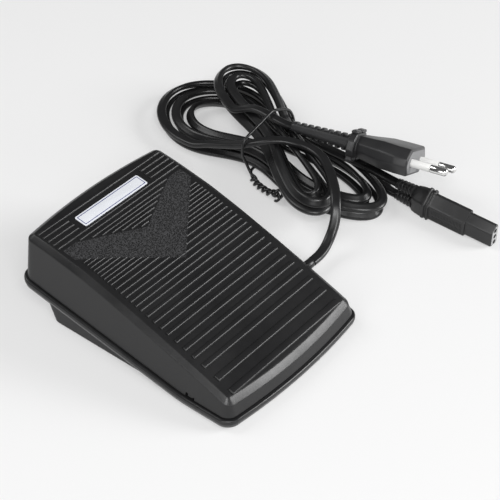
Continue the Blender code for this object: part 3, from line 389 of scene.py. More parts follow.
def node_group(name: str, inputs: Sequence[tuple[str, str]], outputs: Sequence[tuple[str, str]]
               ) -> tuple[Nodes, bpy.types.Node, bpy.types.Node]:
    """Make an empty shader node group.

    Args:
        name: the group's name.
        inputs: pairs of socket name and socket type.
        outputs: the same for its outputs.

    Returns:
        Its nodes, its input node and its output node.
    """
    tree = bpy.data.node_groups.new(name, "ShaderNodeTree")
    for pairs, way in ((inputs, "INPUT"), (outputs, "OUTPUT")):
        for socket, kind in pairs:
            tree.interface.new_socket(name=socket, in_out=way, socket_type=kind)
    nodes = Nodes(tree)
    return nodes, nodes.add("NodeGroupInput"), nodes.add("NodeGroupOutput")


def grain_group() -> bpy.types.NodeTree:
    """Moulded grain: two sizes of noise give its height, and a slow noise gives a mask of wear."""
    if "Moulded grain" in bpy.data.node_groups:
        return bpy.data.node_groups["Moulded grain"]
    number = "NodeSocketFloat"
    nodes, given, result = node_group(
        "Moulded grain", [("Vector", "NodeSocketVector"), ("Per metre", number)],
        [("Height", number), ("Wear", number)])
    fine = nodes.add("ShaderNodeTexNoise", {"Vector": given.outputs[0], "Scale": given.outputs[1],
                                            "Detail": 3.0, "Roughness": 0.6})
    coarse = nodes.add("ShaderNodeTexNoise", {"Vector": given.outputs[0], "Detail": 1.0, "Scale":
                                              nodes.maths("MULTIPLY", given.outputs[1], 0.31)})
    height = nodes.maths("ADD", fine.outputs[0], nodes.maths("MULTIPLY", coarse.outputs[0], 0.6))
    slow = nodes.add("ShaderNodeTexNoise", {"Vector": given.outputs[0], "Scale": 38.0,
                                            "Detail": 4.0, "Roughness": 0.65})
    wear = nodes.add("ShaderNodeMapRange", {0: slow.outputs[0], 1: 0.35, 2: 0.68, 3: 0.0, 4: 1.0})
    nodes.tree.links.new(height, result.inputs[0])
    nodes.tree.links.new(wear.outputs[0], result.inputs[1])
    return nodes.tree


def vee_group() -> bpy.types.NodeTree:
    """The grained vee of the tread: between two lines in |X| against Y, as far as the ribs' end."""
    if "Vee field" in bpy.data.node_groups:
        return bpy.data.node_groups["Vee field"]
    nodes, given, result = node_group("Vee field", [("Vector", "NodeSocketVector")],
                                      [("Mask", "NodeSocketFloat")])
    axes = nodes.add("ShaderNodeSeparateXYZ", {0: given.outputs[0]})
    x, y = nodes.maths("ABSOLUTE", axes.outputs[0]), axes.outputs[1]
    tread = Tread()
    outer = nodes.maths("MULTIPLY_ADD", y, tread.vee_outer[1],
                        (5.0 - tread.vee_outer[0] * tread.vee_outer[1]) * MM)
    inner = nodes.maths("MULTIPLY_ADD", y, tread.vee_inner[1],
                        -tread.vee_inner[0] * tread.vee_inner[1] * MM)
    parts = [nodes.maths("GREATER_THAN", outer, x), nodes.maths("GREATER_THAN", x, inner),
             nodes.maths("LESS_THAN", y, tread.vee_end * MM),
             nodes.maths("LESS_THAN", x, tread.vee_half * MM)]
    mask = parts[0]
    for other in parts[1:]:
        mask = nodes.maths("MULTIPLY", mask, other)
    nodes.tree.links.new(mask, result.inputs[0])
    return nodes.tree


@dataclass(frozen=True)
class Finish:
    """A plain finish: a colour that wears towards a second one, with a moulded grain."""

    name: str
    slot: str
    colour: Colour
    worn: Colour
    roughness: tuple[float, float]
    grain: float = 900.0  # grains in a metre
    depth: float = 0.03  # height of the grain in millimetres
    metallic: float = 0.0
    coat: float = 0.0

    def material(self) -> bpy.types.Material:
        """Return the finish's material, made the first time."""
        if self.name in bpy.data.materials:
            return bpy.data.materials[self.name]
        made = bpy.data.materials.new(self.name)
        made.use_nodes = True
        nodes = Nodes(made.node_tree)
        shader = made.node_tree.nodes["Principled BSDF"]
        shader.inputs["Metallic"].default_value = self.metallic
        shader.inputs["Coat Weight"].default_value = self.coat
        shader.inputs["Coat Roughness"].default_value = 0.15
        place = nodes.add("ShaderNodeTexCoord").outputs["Object"]
        grain = nodes.add("ShaderNodeGroup", node_tree=grain_group())
        made.node_tree.links.new(place, grain.inputs[0])
        grain.inputs[1].default_value = self.grain
        colour, height = self.pattern(nodes, place, grain.outputs[0], grain.outputs[1])
        rough = nodes.add("ShaderNodeMapRange", {0: grain.outputs[1], 1: 0.0, 2: 1.0,
                                                 3: self.roughness[0], 4: self.roughness[1]})
        bump = nodes.add("ShaderNodeBump", {"Strength": 1.0, "Distance": self.depth * MM,
                                            "Height": height})
        for socket, name in ((colour, "Base Color"), (rough.outputs[0], "Roughness"),
                             (bump.outputs[0], "Normal")):
            made.node_tree.links.new(socket, shader.inputs[name])
        return made

    def pattern(self, nodes: Nodes, place: bpy.types.NodeSocket, height: bpy.types.NodeSocket,
                wear: bpy.types.NodeSocket) -> tuple[bpy.types.NodeSocket, bpy.types.NodeSocket]:
        """Lay out what changes over the surface.

        Args:
            nodes: the material's nodes.
            place: Object coordinates.
            height: height of the grain.
            wear: mask of wear.

        Returns:
            The colour and the height for the bump.
        """
        return self.mixed(nodes, wear, self.colour, self.worn), height

    def mixed(self, nodes: Nodes, mask: bpy.types.NodeSocket, first: object, second: object
              ) -> bpy.types.NodeSocket:
        """Mix two colours by a mask and return the result."""
        def value(colour: object) -> object:
            return colour if isinstance(colour, bpy.types.NodeSocket) else (*colour, 1.0)
        mix = nodes.add("ShaderNodeMix", {"Factor": mask, 6: value(first), 7: value(second)},
                        data_type="RGBA")
        return mix.outputs[2]


@dataclass(frozen=True)
class TreadFinish(Finish):
    """The cover's plastic, with a coarse leather grain in the vee between the ribs, and painted
    highlight and shade on that grain.
    """

    coarse: float = 1500.0  # cells in a metre
    tall: float = 18.0  # height of a cell, in heights of the grain

    def pattern(self, nodes, place, height, wear):
        """Add coarse cells inside the vee, far higher than the grain, with painted highlight on
        their crests and painted shade in their pits.
        """
        mask = nodes.add("ShaderNodeGroup", {0: place}, node_tree=vee_group()).outputs[0]
        cells = nodes.add("ShaderNodeTexVoronoi", {"Vector": place, "Scale": self.coarse,
                                                   "Randomness": 1.0}).outputs[0]
        tall = nodes.maths("MULTIPLY", nodes.maths("MULTIPLY", cells, self.tall), mask)
        colour = self.mixed(nodes, wear, self.colour, self.worn)
        crest = nodes.add("ShaderNodeMapRange",
                          {0: cells, 1: 0.2, 2: 0.75, 3: 0.0, 4: 1.0}).outputs[0]
        # painted highlight on the cells' crests and painted shade in their pits, from near black to
        # grey
        painted_crest_highlight = self.mixed(nodes, crest, (0.001, 0.001, 0.001), (0.052, 0.052, 0.054))
        return self.mixed(nodes, mask, colour, painted_crest_highlight), nodes.maths("ADD", height, tall)


@dataclass(frozen=True)
class PlateFinish(Finish):
    """White plate with a plain line round it, inside its edge."""

    ink: Colour = (0.02, 0.028, 0.17)
    half: tuple[float, float] = (21.0, 3.7)
    middle: float = 47.2
    line: tuple[float, float] = (0.85, 1.22)

    def pattern(self, nodes, place, height, wear):
        """Draw a frame: its line lies where the distance to the plate's edge is in a band."""
        axes = nodes.add("ShaderNodeSeparateXYZ", {0: place})
        along = nodes.maths("SUBTRACT", self.half[0] * MM, nodes.maths("ABSOLUTE", axes.outputs[0]))
        off = nodes.maths("SUBTRACT", axes.outputs[1], self.middle * MM)
        deep = nodes.maths("SUBTRACT", self.half[1] * MM, nodes.maths("ABSOLUTE", off))
        edge = nodes.maths("MINIMUM", along, deep)
        ink = nodes.maths("MULTIPLY", nodes.maths("GREATER_THAN", edge, self.line[0] * MM),
                          nodes.maths("LESS_THAN", edge, self.line[1] * MM))
        white = self.mixed(nodes, wear, self.colour, self.worn)
        return self.mixed(nodes, ink, white, self.ink), height


@dataclass(frozen=True)
class WoundFinish(Finish):
    """Turns of varnished wire round a ring: a wave across the coil gives height, and painted shade
    in the grooves between the turns.
    """

    centre: tuple[float, float] = (15.6, 14.0)
    turns: float = 34.0

    def pattern(self, nodes, place, height, wear):
        """Take the angle about the coil's axis, and let its sine draw the turns and the painted
        shade between them.
        """
        axes = nodes.add("ShaderNodeSeparateXYZ", {0: place})
        x = nodes.maths("SUBTRACT", axes.outputs[0], self.centre[0] * MM)
        y = nodes.maths("SUBTRACT", axes.outputs[1], self.centre[1] * MM)
        angle = nodes.maths("MULTIPLY", nodes.maths("ARCTAN2", y, x), self.turns)
        wave = nodes.maths("MULTIPLY_ADD", nodes.maths("SINE", angle), 0.5, 0.5)
        # dark copper where the wave is low: painted shade in the grooves between the turns
        colour = self.mixed(nodes, wave, (0.08, 0.025, 0.01), self.colour)
        return colour, nodes.maths("MULTIPLY_ADD", wave, 6.0, height)


@dataclass(frozen=True)
class BrushedFinish(Finish):
    """Drawn metal, with fine streaks along X."""

    def pattern(self, nodes, place, height, wear):
        """Stretch a noise along X and add it to the grain."""
        long = nodes.add("ShaderNodeMapping", {0: place, "Scale": (60.0, 2600.0, 2600.0)})
        streaks = nodes.add("ShaderNodeTexNoise",
                            {"Vector": long.outputs[0], "Scale": 1.0}).outputs[0]
        colour = self.mixed(nodes, streaks, self.colour, self.worn)
        return colour, nodes.maths("MULTIPLY_ADD", streaks, 1.5, height)


SHELL = TreadFinish("cover plastic", "shell", (0.0085, 0.0085, 0.009), (0.0115, 0.0115, 0.012),
                    (0.32, 0.41), 2100.0, 0.009)
RIM = Finish("rim plastic", "shell", (0.0095, 0.0095, 0.01), (0.013, 0.013, 0.0135), (0.27, 0.36),
             2100.0, 0.008)
TUB = Finish("base plastic", "tub", (0.011, 0.011, 0.012), (0.016, 0.016, 0.017), (0.45, 0.58),
             1500.0, 0.035)
PLATE = PlateFinish("plate white", "label", (0.74, 0.76, 0.80), (0.68, 0.70, 0.74), (0.28, 0.36),
                    600.0, 0.006)
FOOT = Finish("foot rubber", "rubber", (0.013, 0.013, 0.013), (0.024, 0.024, 0.023), (0.75, 0.9),
              1100.0, 0.06)
VINYL = Finish("cord vinyl", "cord", (0.0085, 0.0085, 0.009), (0.013, 0.013, 0.0135), (0.27, 0.37),
               420.0, 0.03)
PLUG_VINYL = Finish("plug vinyl", "plug", (0.015, 0.015, 0.016), (0.021, 0.021, 0.022),
                    (0.36, 0.46), 1300.0, 0.03)
PLUG_FACE = Finish("plug face", "plug", (0.20, 0.20, 0.205), (0.24, 0.24, 0.245), (0.5, 0.6),
                   1900.0, 0.05)
SOCKET_VINYL = Finish("connector vinyl", "cord", (0.0125, 0.0125, 0.013), (0.018, 0.018, 0.0185),
                      (0.34, 0.45), 1300.0, 0.03)
SOCKET_FACE = Finish("connector face", "cord", (0.38, 0.38, 0.385), (0.45, 0.45, 0.45), (0.5, 0.6),
                     1500.0, 0.04)
WHITE = Finish("white nylon", "white", (0.80, 0.80, 0.79), (0.74, 0.74, 0.72), (0.36, 0.46),
               700.0, 0.015)
NICKEL = BrushedFinish("nickel", "nickel", (0.76, 0.75, 0.73), (0.66, 0.65, 0.63), (0.12, 0.24),
                       900.0, 0.004, 1.0)
STEEL = BrushedFinish("zinc steel", "steel", (0.60, 0.60, 0.62), (0.46, 0.46, 0.47), (0.3, 0.46),
                      1200.0, 0.012, 1.0)
BRASS = BrushedFinish("contact brass", "brass", (0.62, 0.44, 0.17), (0.5, 0.34, 0.12), (0.25, 0.4),
                      1200.0, 0.008, 1.0)
ALUMINIUM = BrushedFinish("sink aluminium", "aluminium", (0.70, 0.71, 0.72), (0.58, 0.59, 0.6),
                          (0.34, 0.5), 1200.0, 0.01, 1.0)
BOARD = Finish("board laminate", "board", (0.25, 0.15, 0.055), (0.18, 0.10, 0.035), (0.45, 0.6),
               1700.0, 0.02, coat=0.2)
RESIN = Finish("black resin", "resin", (0.02, 0.02, 0.02), (0.035, 0.035, 0.034), (0.35, 0.5),
               2000.0, 0.02)
BLUE = Finish("blue resin", "pot", (0.04, 0.11, 0.36), (0.06, 0.15, 0.42), (0.35, 0.48), 1600.0,
              0.02)
OCHRE = Finish("ochre resin", "capacitor", (0.46, 0.22, 0.035), (0.38, 0.17, 0.025), (0.2, 0.34),
               900.0, 0.03, coat=0.3)
COPPER = WoundFinish("copper turns", "copper", (0.60, 0.24, 0.09), (0.5, 0.2, 0.07), (0.25, 0.4),
                     1500.0, 0.03, 0.9)
CEMENT = Finish("cement", "ceramic", (0.55, 0.53, 0.50), (0.46, 0.44, 0.41), (0.7, 0.85), 1400.0,
                0.07)
GREEN = Finish("terminal green", "terminal", (0.03, 0.24, 0.08), (0.04, 0.29, 0.1), (0.36, 0.5),
               1500.0, 0.02)
BROWN = Finish("core brown", "wire", (0.17, 0.06, 0.028), (0.14, 0.05, 0.022), (0.38, 0.5), 900.0,
               0.015)


# ------------------------------------------------------------------ pedal


@dataclass(frozen=True)
class Outline:
    """The pedal's plan and its side view, which every piece of the casing follows."""

    half_width: float = 47.5
    half_length: float = 65.0
    bow: float = 2.6
    corner: float = 7.0
    pivot: tuple[float, float] = (-34.0, 7.6)
    part_low: float = 5.7
    part_slope: float = 0.168
    knots_y: tuple[float, ...] = (-66, -57, -49, -38, -15, 8, 25, 45, 66)
    knots_z: tuple[float, ...] = (10.3, 14.0, 17.0, 20.8, 28.4, 35.4, 39.9, 43.5, 46.2)

    def top(self, y: np.ndarray) -> np.ndarray:
        """Return the tread's height: the mean of the knot line at y - 3, y and y + 3."""
        return sum(np.interp(y + d, self.knots_y, self.knots_z) for d in (-3.0, 0.0, 3.0)) / 3

    def part(self, y: np.ndarray) -> np.ndarray:
        """Return the parting line: level at the heel, bending up behind the pivot.

        With u = y - pivot, it is low + slope (u + root of u^2 + 9) / 2.
        """
        u = np.asarray(y, float) - self.pivot[0]
        return self.part_low + self.part_slope * 0.5 * (u + np.sqrt(u * u + 9.0))

    def plan(self, inset: float = 0.0, front: float | None = None, rear: float | None = None,
             bow: float | None = None, half: float | None = None, corner: float | None = None
             ) -> np.ndarray:
        """Return a ring of (x, y): a rectangle with bowed ends and round corners.

        The ends follow y = end +- bow (x / flat)^2, the corners are quarter circles, and the
        right half is mirrored about X = 0.
        """
        bow = self.bow if bow is None else bow
        w = (self.half_width if half is None else half) - inset
        f = (-self.half_length if front is None else front) + inset
        r = (self.half_length if rear is None else rear) - inset
        radius = max((self.corner if corner is None else corner) - inset, 1.2)
        flat = w - radius
        across = np.linspace(0, flat, 12)
        bend = bow * (across / flat) ** 2
        quarter = np.radians(np.linspace(-90, 0, 13))
        low, high = f + bow + radius, r - bow - radius
        side = np.linspace(low, high, 62)[1:-1]
        right = np.concatenate([
            np.stack([across, f + bend], 1)[:-1],
            np.stack([flat + radius * np.cos(quarter), low + radius * np.sin(quarter)], 1),
            np.stack([np.full_like(side, w), side], 1),
            np.stack([flat - radius * np.sin(quarter), high + radius * np.cos(quarter)], 1),
            np.stack([across, r - bend], 1)[::-1][1:]])
        return np.concatenate([right, (right[1:-1] * (-1, 1))[::-1]])

    def ring(self, plan: np.ndarray, share: float, offset: float) -> np.ndarray:
        """Lift a plan ring to the parting line (share 0), the tread (share 1), or between."""
        y = plan[:, 1]
        z = (1 - share) * self.part(y) + share * self.top(y) + offset
        return np.concatenate([plan, z[:, None]], axis=1)


@dataclass(frozen=True)
class Tread:
    """The ribs of the tread and the vee that they leave."""

    rib_height: float = 0.75
    rib_half: float = 38.5
    rib_share: float = 0.45
    start: float = -56.7
    pitches: tuple[tuple[float, int], ...] = (
        (7.9, 2), (5.9, 1), (4.9, 3), (3.87, 4), (2.9, 6), (2.0, 12), (2.5, 2), (3.0, 5))
    vee_outer: tuple[float, float] = (6.4, 1.29)
    vee_inner: tuple[float, float] = (25.3, 2.15)
    vee_end: float = 40.0
    vee_half: float = 39.5
    label_half: tuple[float, float] = (24.0, 4.9)
    label_y: float = 47.2

    def spans(self) -> np.ndarray:
        """Return every rib as (front edge y, width, low x, high x)."""
        steps = np.concatenate([np.full(count, pitch) for pitch, count in self.pitches])
        fronts = self.start + np.concatenate([[0], np.cumsum(steps)[:-1]])
        found = []
        for y, width in zip(fronts, self.rib_share * steps):
            outer = (y - self.vee_outer[0]) * self.vee_outer[1] + 5.0
            inner = (y - self.vee_inner[0]) * self.vee_inner[1]
            half = self.rib_half + (2.4 if y > self.vee_end else 0.0)
            if abs(y + 0.7 - self.label_y) < self.label_half[1]:
                pairs = [(self.label_half[0], half), (-half, -self.label_half[0])]
            elif y < self.vee_outer[0] or y > self.vee_end:
                pairs = [(-half, half)]
            else:
                pairs = [(outer, half), (-half, -outer)] if outer < half - 3 else []
                pairs += [(-min(inner, half), min(inner, half))] if inner > 2 else []
            found += [(y, width, low, high) for low, high in pairs]
        return np.array(found)

    def ribs(self, outline: Outline) -> Surface:
        """Build all ribs at once.

        A rib's section is a list of (share of its width, millimetres, height), whose crest has
        a small round at the front and a long slope behind. Its two ends drop under the tread.
        """
        section = np.array([(0.0, 0.0, -0.5), (0.0, 0.03, 0.36), (0.0, 0.12, 0.60),
                            (0.0, 0.27, 0.73), (0.0, 0.40, 0.76), (0.66, 0.08, 0.72),
                            (0.78, 0.08, 0.60), (1.0, 0.08, -0.5)])
        drop = np.array([1.0, 0.35, 0.0, 0.0, 0.35, 1.0])
        shift = np.array([0.0, 0.12, 0.5, -0.5, -0.12, 0.0])
        spans = self.spans()
        y = spans[:, None, None, 0] + section[:, 0] * spans[:, None, None, 1] + section[:, 1]
        ends = np.where(np.arange(6) < 3, spans[:, 2, None], spans[:, 3, None]) + shift
        x = np.broadcast_to(ends[:, :, None], (len(spans), 6, len(section)))
        y = np.broadcast_to(y, x.shape)
        height = np.minimum(section[:, 2], self.rib_height - 1.25 * drop[None, :, None])
        grids = np.stack([x, y, outline.top(y) + height], axis=-1)
        return joined(skin(grid) for grid in grids)


@dataclass(frozen=True)
class Treadle:
    """The pressed part: cover, rim frame, plate and the screws that hold the rim."""

    outline: Outline = Outline()
    tread: Tread = Tread()
    rim_height: float = 4.1
    opening: tuple[float, ...] = (-57.1, 53.8, 0.8, 44.1, 4.6)
    notch: tuple[float, float, float] = (-24.0, 4.5, 11.2)  # middle, half width and top
    screws: tuple[tuple[float, float], ...] = ((-30, -59.8), (30, -59.8), (-30, 57.8), (30, 57.8))
    plate: tuple[float, float, float] = (42.0, 7.4, 0.8)
    plate_proud: float = 0.3
    spring: tuple[float, float] = (28.0, 36.5)
    lug: tuple[float, float] = (34.0, 2.5)  # x of its middle, half width

    def cover(self) -> None:
        """Build the cover as rings from its top round the lower edge to its ceiling.

        Each ring is the plan drawn in by an inset, at a height between the parting line and
        the tread, so the shell has its outer wall, chamfers, lower edge and inner wall.
        """
        levels = ((6.9, 1, 0.0), (6.3, 1, -0.02), (5.95, 1, -0.12), (5.65, 1, -0.34),
                  (3.75, 1, -1.78), (3.5, 1, -2.05), (3.36, 1, -2.4), (3.28, 1, -2.8),
                  (1.72, 0, 1.2), (1.6, 0, 0.7), (1.6, 0, 0.5), (1.7, 0, GAP), (2.8, 0, GAP),
                  (2.9, 0, 0.5), (4.2, 1, -4.3), (4.7, 1, -3.9), (7.0, 1, -2.6), (8.2, 1, -2.3))
        rings = np.stack([self.outline.ring(self.outline.plan(inset), share, offset)
                          for inset, share, offset in levels])
        shell = piece("treadle_shell", banded(rings), SHELL, "treadle_cover", body=Body.TREADLE)
        middle, half, top = self.notch
        width = self.outline.half_width
        notch = block((width - 1, middle, (top - 5) / 2), (14, 2 * half, top + 5), 0.4)
        plate = block((0, 0, 1.5 + self.plate_proud - self.plate[2] / 2),
                      (self.plate[0] + 2 * GAP, self.plate[1] + 2 * GAP, self.plate[2] + 3.0), 0.3)
        slots = [block((1 - width, y, float(self.outline.part(y)) + GAP + tall / 2 - 0.6),
                       (4.0, long, tall + 1.2), 0.15)
                 for y, long, tall in ((-38.4, 4.6, 0.9), (-36.6, 1.4, 2.2), (-40.4, 1.0, 1.5))]
        carved(shell, joined([notch, plate.moved(self.plate_place())]))
        for slot in slots:
            carved(shell, slot)
        piece("tread_ribs", self.tread.ribs(self.outline), SHELL, body=Body.TREADLE,
              angle=30.0)

    def inside(self) -> None:
        """Build what hangs under the ceiling: two lugs, two spring seats, a presser and bosses."""
        y, z = self.outline.pivot
        ceiling = float(self.outline.top(y)) - CEILING
        a = np.radians(np.linspace(180, 360, 17))
        side = np.concatenate([[(y + 5.5, ceiling), (y - 4.0, ceiling)],
                               np.stack([y + 4.0 * np.cos(a), z + 4.0 * np.sin(a)], 1)])
        found = []
        seat = float(self.outline.top(self.spring[1])) - CEILING
        for x in (-self.lug[0], self.lug[0]):
            rows = [np.concatenate([np.full((len(side), 1), x + d), side], axis=1)
                    for d in (-self.lug[1], self.lug[1])]
            found.append(skin(np.stack(rows)))
            sx = math.copysign(self.spring[0], x)
            found.append(turned([(7.9, 34.3), (8.5, 34.9), (8.5, seat)]).at(sx, self.spring[1]))
        presser = float(self.outline.top(6.0)) - CEILING
        found.append(turned([(5.6, 29.3), (6.0, 29.7), (6.0, presser)]).at(0, 8.0))
        for x, y in self.screws:
            low = float(self.outline.part(y)) + 0.5
            high = float(self.outline.top(y)) - 3.6 if y > 0 else low + 0.7
            found.append(turned([(1.6, low), (2.0, low), (2.0, high), (1.6, high)]).at(x, y))
        lugs = piece("cover_lugs_and_seats", joined(found), RIM, body=Body.TREADLE)
        bore = turned([(2.3, -45.0), (2.3, 45.0)], 24).moved(stand((0, self.outline.pivot[0], z),
                                                                (1, 0, 0), (0, 0, 1)))
        carved(lugs, bore)

    def rim(self) -> None:
        """Build the band round the lower edge: a rounded section swept round the plan.

        The sweep starts and ends at the notch for the lead, so the band is open there.
        """
        front, rear, bow, half, corner = self.opening
        high = self.rim_height
        outer = ((1.0, -high), (0.62, -high + 0.14), (0.45, -high + 0.5), (0.16, -2.25),
                 (0.0, -2.1), (0.0, -0.9), (0.08, -0.55), (0.3, -0.24), (0.62, -0.05), (1.0, 0.0))
        rings = [self.outline.ring(self.outline.plan(inset), 0, offset) for inset, offset in outer]
        hole = self.outline.plan(0, front, rear, bow, half, corner)
        near = self.outline.plan(0.4, front, rear, bow, half, corner)
        inner = ((0.9, 0.0), (0.2, -0.1), (0.0, -0.4), (0.0, 0.3 - high), (0.9, -high))
        rings += [self.outline.ring(hole + (hole - near) * k, 0, offset) for k, offset in inner]
        grid = np.stack(rings, axis=1)
        middle, reach, _ = self.notch
        plan = self.outline.plan(0.0)
        at_notch = (plan[:, 0] > 0) & (np.abs(plan[:, 1] - middle) < reach)
        first = int(np.nonzero(at_notch)[0][-1]) + 1
        grid = np.roll(grid, -first, axis=0)[:len(plan) - int(at_notch.sum())]
        band = piece("rim_band", skin(grid), RIM, "rim_frame", body=Body.TREADLE)
        well = turned([(2.9, -3.0), (2.9, 1.9), (1.6, 1.9), (1.6, 6.0)], 24)
        wells = [well.at(x, y, float(self.outline.part(y)) - high) for x, y in self.screws]
        carved(band, joined(wells))

    def rim_screws(self) -> None:
        """Build four screws with a domed head and a cross recess, in the rim's wells."""
        for k, (x, y) in enumerate(self.screws):
            foot = float(self.outline.part(y)) - self.rim_height + 0.4
            end = 7.0 if y > 0 else 5.4
            body = turned([(0, 0.0), (1.5, 0.04), (2.3, 0.3), (2.6, 0.8), (2.6, 1.2), (1.3, 1.2),
                           (1.3, end - 0.4), (0.5, end), (0, end)], 28)
            screw = piece(f"rim_screw_head_{k + 1}", body.at(x, y, foot), STEEL,
                          f"rim_screw_{k + 1}", body=Body.TREADLE)
            for size in ((2.6, 0.55, 1.3), (0.55, 2.6, 1.3)):
                carved(screw, block((x, y, foot), size, 0.1))

    def plate_place(self) -> Matrix:
        """Return the place of the plate: its recess, tilted as the tread is."""
        y, reach = self.tread.label_y, self.plate[1] / 2
        low, high = float(self.outline.top(y - reach)), float(self.outline.top(y + reach))
        tilt = math.atan2(high - low, 2 * reach)
        return Matrix.Translation((0, y, (low + high) / 2)) @ Matrix.Rotation(tilt, 4, "X")

    def name_plate(self) -> None:
        """Build the plain plate, with round corners and a small round along its edge."""
        w, d, t = self.plate
        inset = np.array([0.3, 0.0, 0.0, 0.06, 0.3])
        z = np.array([-t + 0.3, -t + 0.5, -0.14, -0.04, 0.0]) + self.plate_proud
        shape = stacked(rectangle(w - inset, d - inset, 1.0, 7), z).moved(self.plate_place())
        piece("plain_plate", shape, PLATE, "label_plate", body=Body.TREADLE)

    def build(self) -> None:
        """Build the whole pressed part."""
        self.cover()
        self.inside()
        self.rim()
        self.rim_screws()
        self.name_plate()


@dataclass(frozen=True)
class Stand:
    """What stands still in the pedal: tub, feet, rod, springs, board and the lead's inner end."""

    feet: tuple[tuple[float, float], ...] = ((-35, -48), (35, -48), (-35, 38), (35, 38))
    spring: tuple[float, float, float, float] = (28.0, 36.5, 12.0, 34.0)  # x, y, foot, top
    coil: tuple[float, float, int] = (4.6, 0.7, 6)  # radius, wire radius, turns
    lead: tuple[float, float] = (-24.0, 6.6)
    sleeve: tuple[float, float] = (43.5, 60.0)

    def rubber_feet(self) -> None:
        """Build four feet: a disc with a rounded edge and a shallow dish underneath."""
        disc = turned([(0, 0.25), (2.6, 0.25), (3.2, 0.0), (4.5, 0.0), (4.85, 0.14), (5.0, 0.5),
                       (5.0, 1.5), (0, 1.5)], 48)
        for k, (x, y) in enumerate(self.feet):
            piece(f"foot_pad_{k + 1}", disc.at(x, y), FOOT, f"rubber_foot_{k + 1}")

    def springs(self) -> None:
        """Build the return springs at one length; the real ones shorten as the cover comes down.

        The wire's centre is (r cos a, r sin a) with a running six turns, and its height is
        straight between the closed end turns.
        """
        sx, y, low, high = self.spring
        radius, wire, turns = self.coil
        turn = np.linspace(0, turns, turns * 30 + 1)
        a = 2 * math.pi * turn
        close = 2 * wire + 0.5
        z = np.interp(turn, (0, 1, turns - 1, turns),
                      (low + wire, low + wire + close, high - wire - close, high - wire))
        for side, x in (("left", -sx), ("right", sx)):
            path = np.stack([x + radius * np.cos(a), y + radius * np.sin(a), z], axis=1)
            coil = piece(f"spring_{side}", swept(path, circle(wire, 12)), STEEL,
                         f"return_spring_{side}")
            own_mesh(coil)

    def lead_end(self) -> None:
        """Build the ribbed sleeve at the wall, and the lead and its two cores inside."""
        y, z = self.lead
        wall, tip = self.sleeve
        along = Matrix.Translation((0, y, z)) @ Matrix.Rotation(math.pi / 2, 4, "Y")
        profile = [(2.0, wall - 3.7), (3.3, wall - 3.7), (3.5, wall - 3.5), (3.5, wall - 2.1),
                   (2.4, wall - 2.1), (2.4, wall + GAP), (2.9, wall + 0.4), (3.0, wall + 1.0)]
        for k in range(5):
            x, r = wall + 2.2 + 2.2 * k, 2.95 - 0.1 * k
            profile += [(r, x), (r - 0.12, x + 0.12), (r - 0.55, x + 0.3), (r - 0.55, x + 0.9),
                        (r - 0.2, x + 1.1), (r - 0.1, x + 1.25)]
        profile += [(2.4, tip - 1.5), (2.4, tip - 0.3), (2.2, tip)]
        piece("strain_relief", turned(profile, 36).moved(along), VINYL, "lead_sleeve")
        start = 19.5
        path = even(np.array([(start, y, z), (wall - 4.3, y, z)]), 1.5)
        piece("lead_inside", swept(path, twin_ring(3.9, 3.0)), VINYL, "lead_inner")
        for k, side in enumerate((-1.0, 1.0)):
            x = 8.5 + 3.0 * side
            route = ((start - GAP, y + side, z), (start - 3, y + side, z), (x + 3, y + side, 9.0),
                     (x + 0.5, y + side + 0.8, 12.0), (x, -16.8, 13.6), (x, -14.3, 13.6))
            core = calmed(even(curve_through(route), 0.6), 4)
            piece(f"core_{k + 1}", swept(core, circle(0.8, 12)), BROWN, f"lead_wire_{k + 1}")

    def dress(self) -> None:
        """Give the frame's own nodes that stay visible their finishes."""
        finishes = {
            "base_tub": TUB, "pivot_rod": STEEL, "circuit_board": BOARD, "board_screw_1": STEEL,
            "board_screw_2": STEEL, "speed_potentiometer": BLUE, "speed_plunger": WHITE,
            "triac": RESIN, "heat_sink": ALUMINIUM, "film_capacitor": OCHRE, "choke_coil": COPPER,
            "power_resistor": CEMENT, "trimmer": BLUE, "terminal_block": GREEN,
            "cord_clamp": WHITE, "clamp_screw_1": STEEL, "clamp_screw_2": STEEL,
            "travel_stop_pad": FOOT}
        for name, finish in finishes.items():
            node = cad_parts[name]
            node.data.materials.clear()
            node.data.materials.append(finish.material())
            logger.info("%s: kept from the frame with %s", name, finish.name)

    def build(self) -> None:
        """Build the whole standing part."""
        self.dress()
        self.rubber_feet()
        self.springs()
        self.lead_end()


# ------------------------------------------------------------------ cords


def twin_ring(width: float, thick: float, points: int = 22) -> np.ndarray:
    """Return the section of a flat twin cord: an oval with a shallow groove on each face.

    With a running round, across = w/2 sign(cos) |cos|^0.85 and up = t/2 sign(sin) |sin|^0.6,
    less 14% near the middle.
    """
    a = np.linspace(0, 2 * math.pi, points, endpoint=False) + math.pi / points
    across = width / 2 * np.sign(np.cos(a)) * np.abs(np.cos(a)) ** 0.85
    up = thick / 2 * np.sign(np.sin(a)) * np.abs(np.sin(a)) ** 0.6
    return np.stack([across, up * (1 - 0.14 * np.exp(-(across / (0.16 * width)) ** 2))], axis=1)


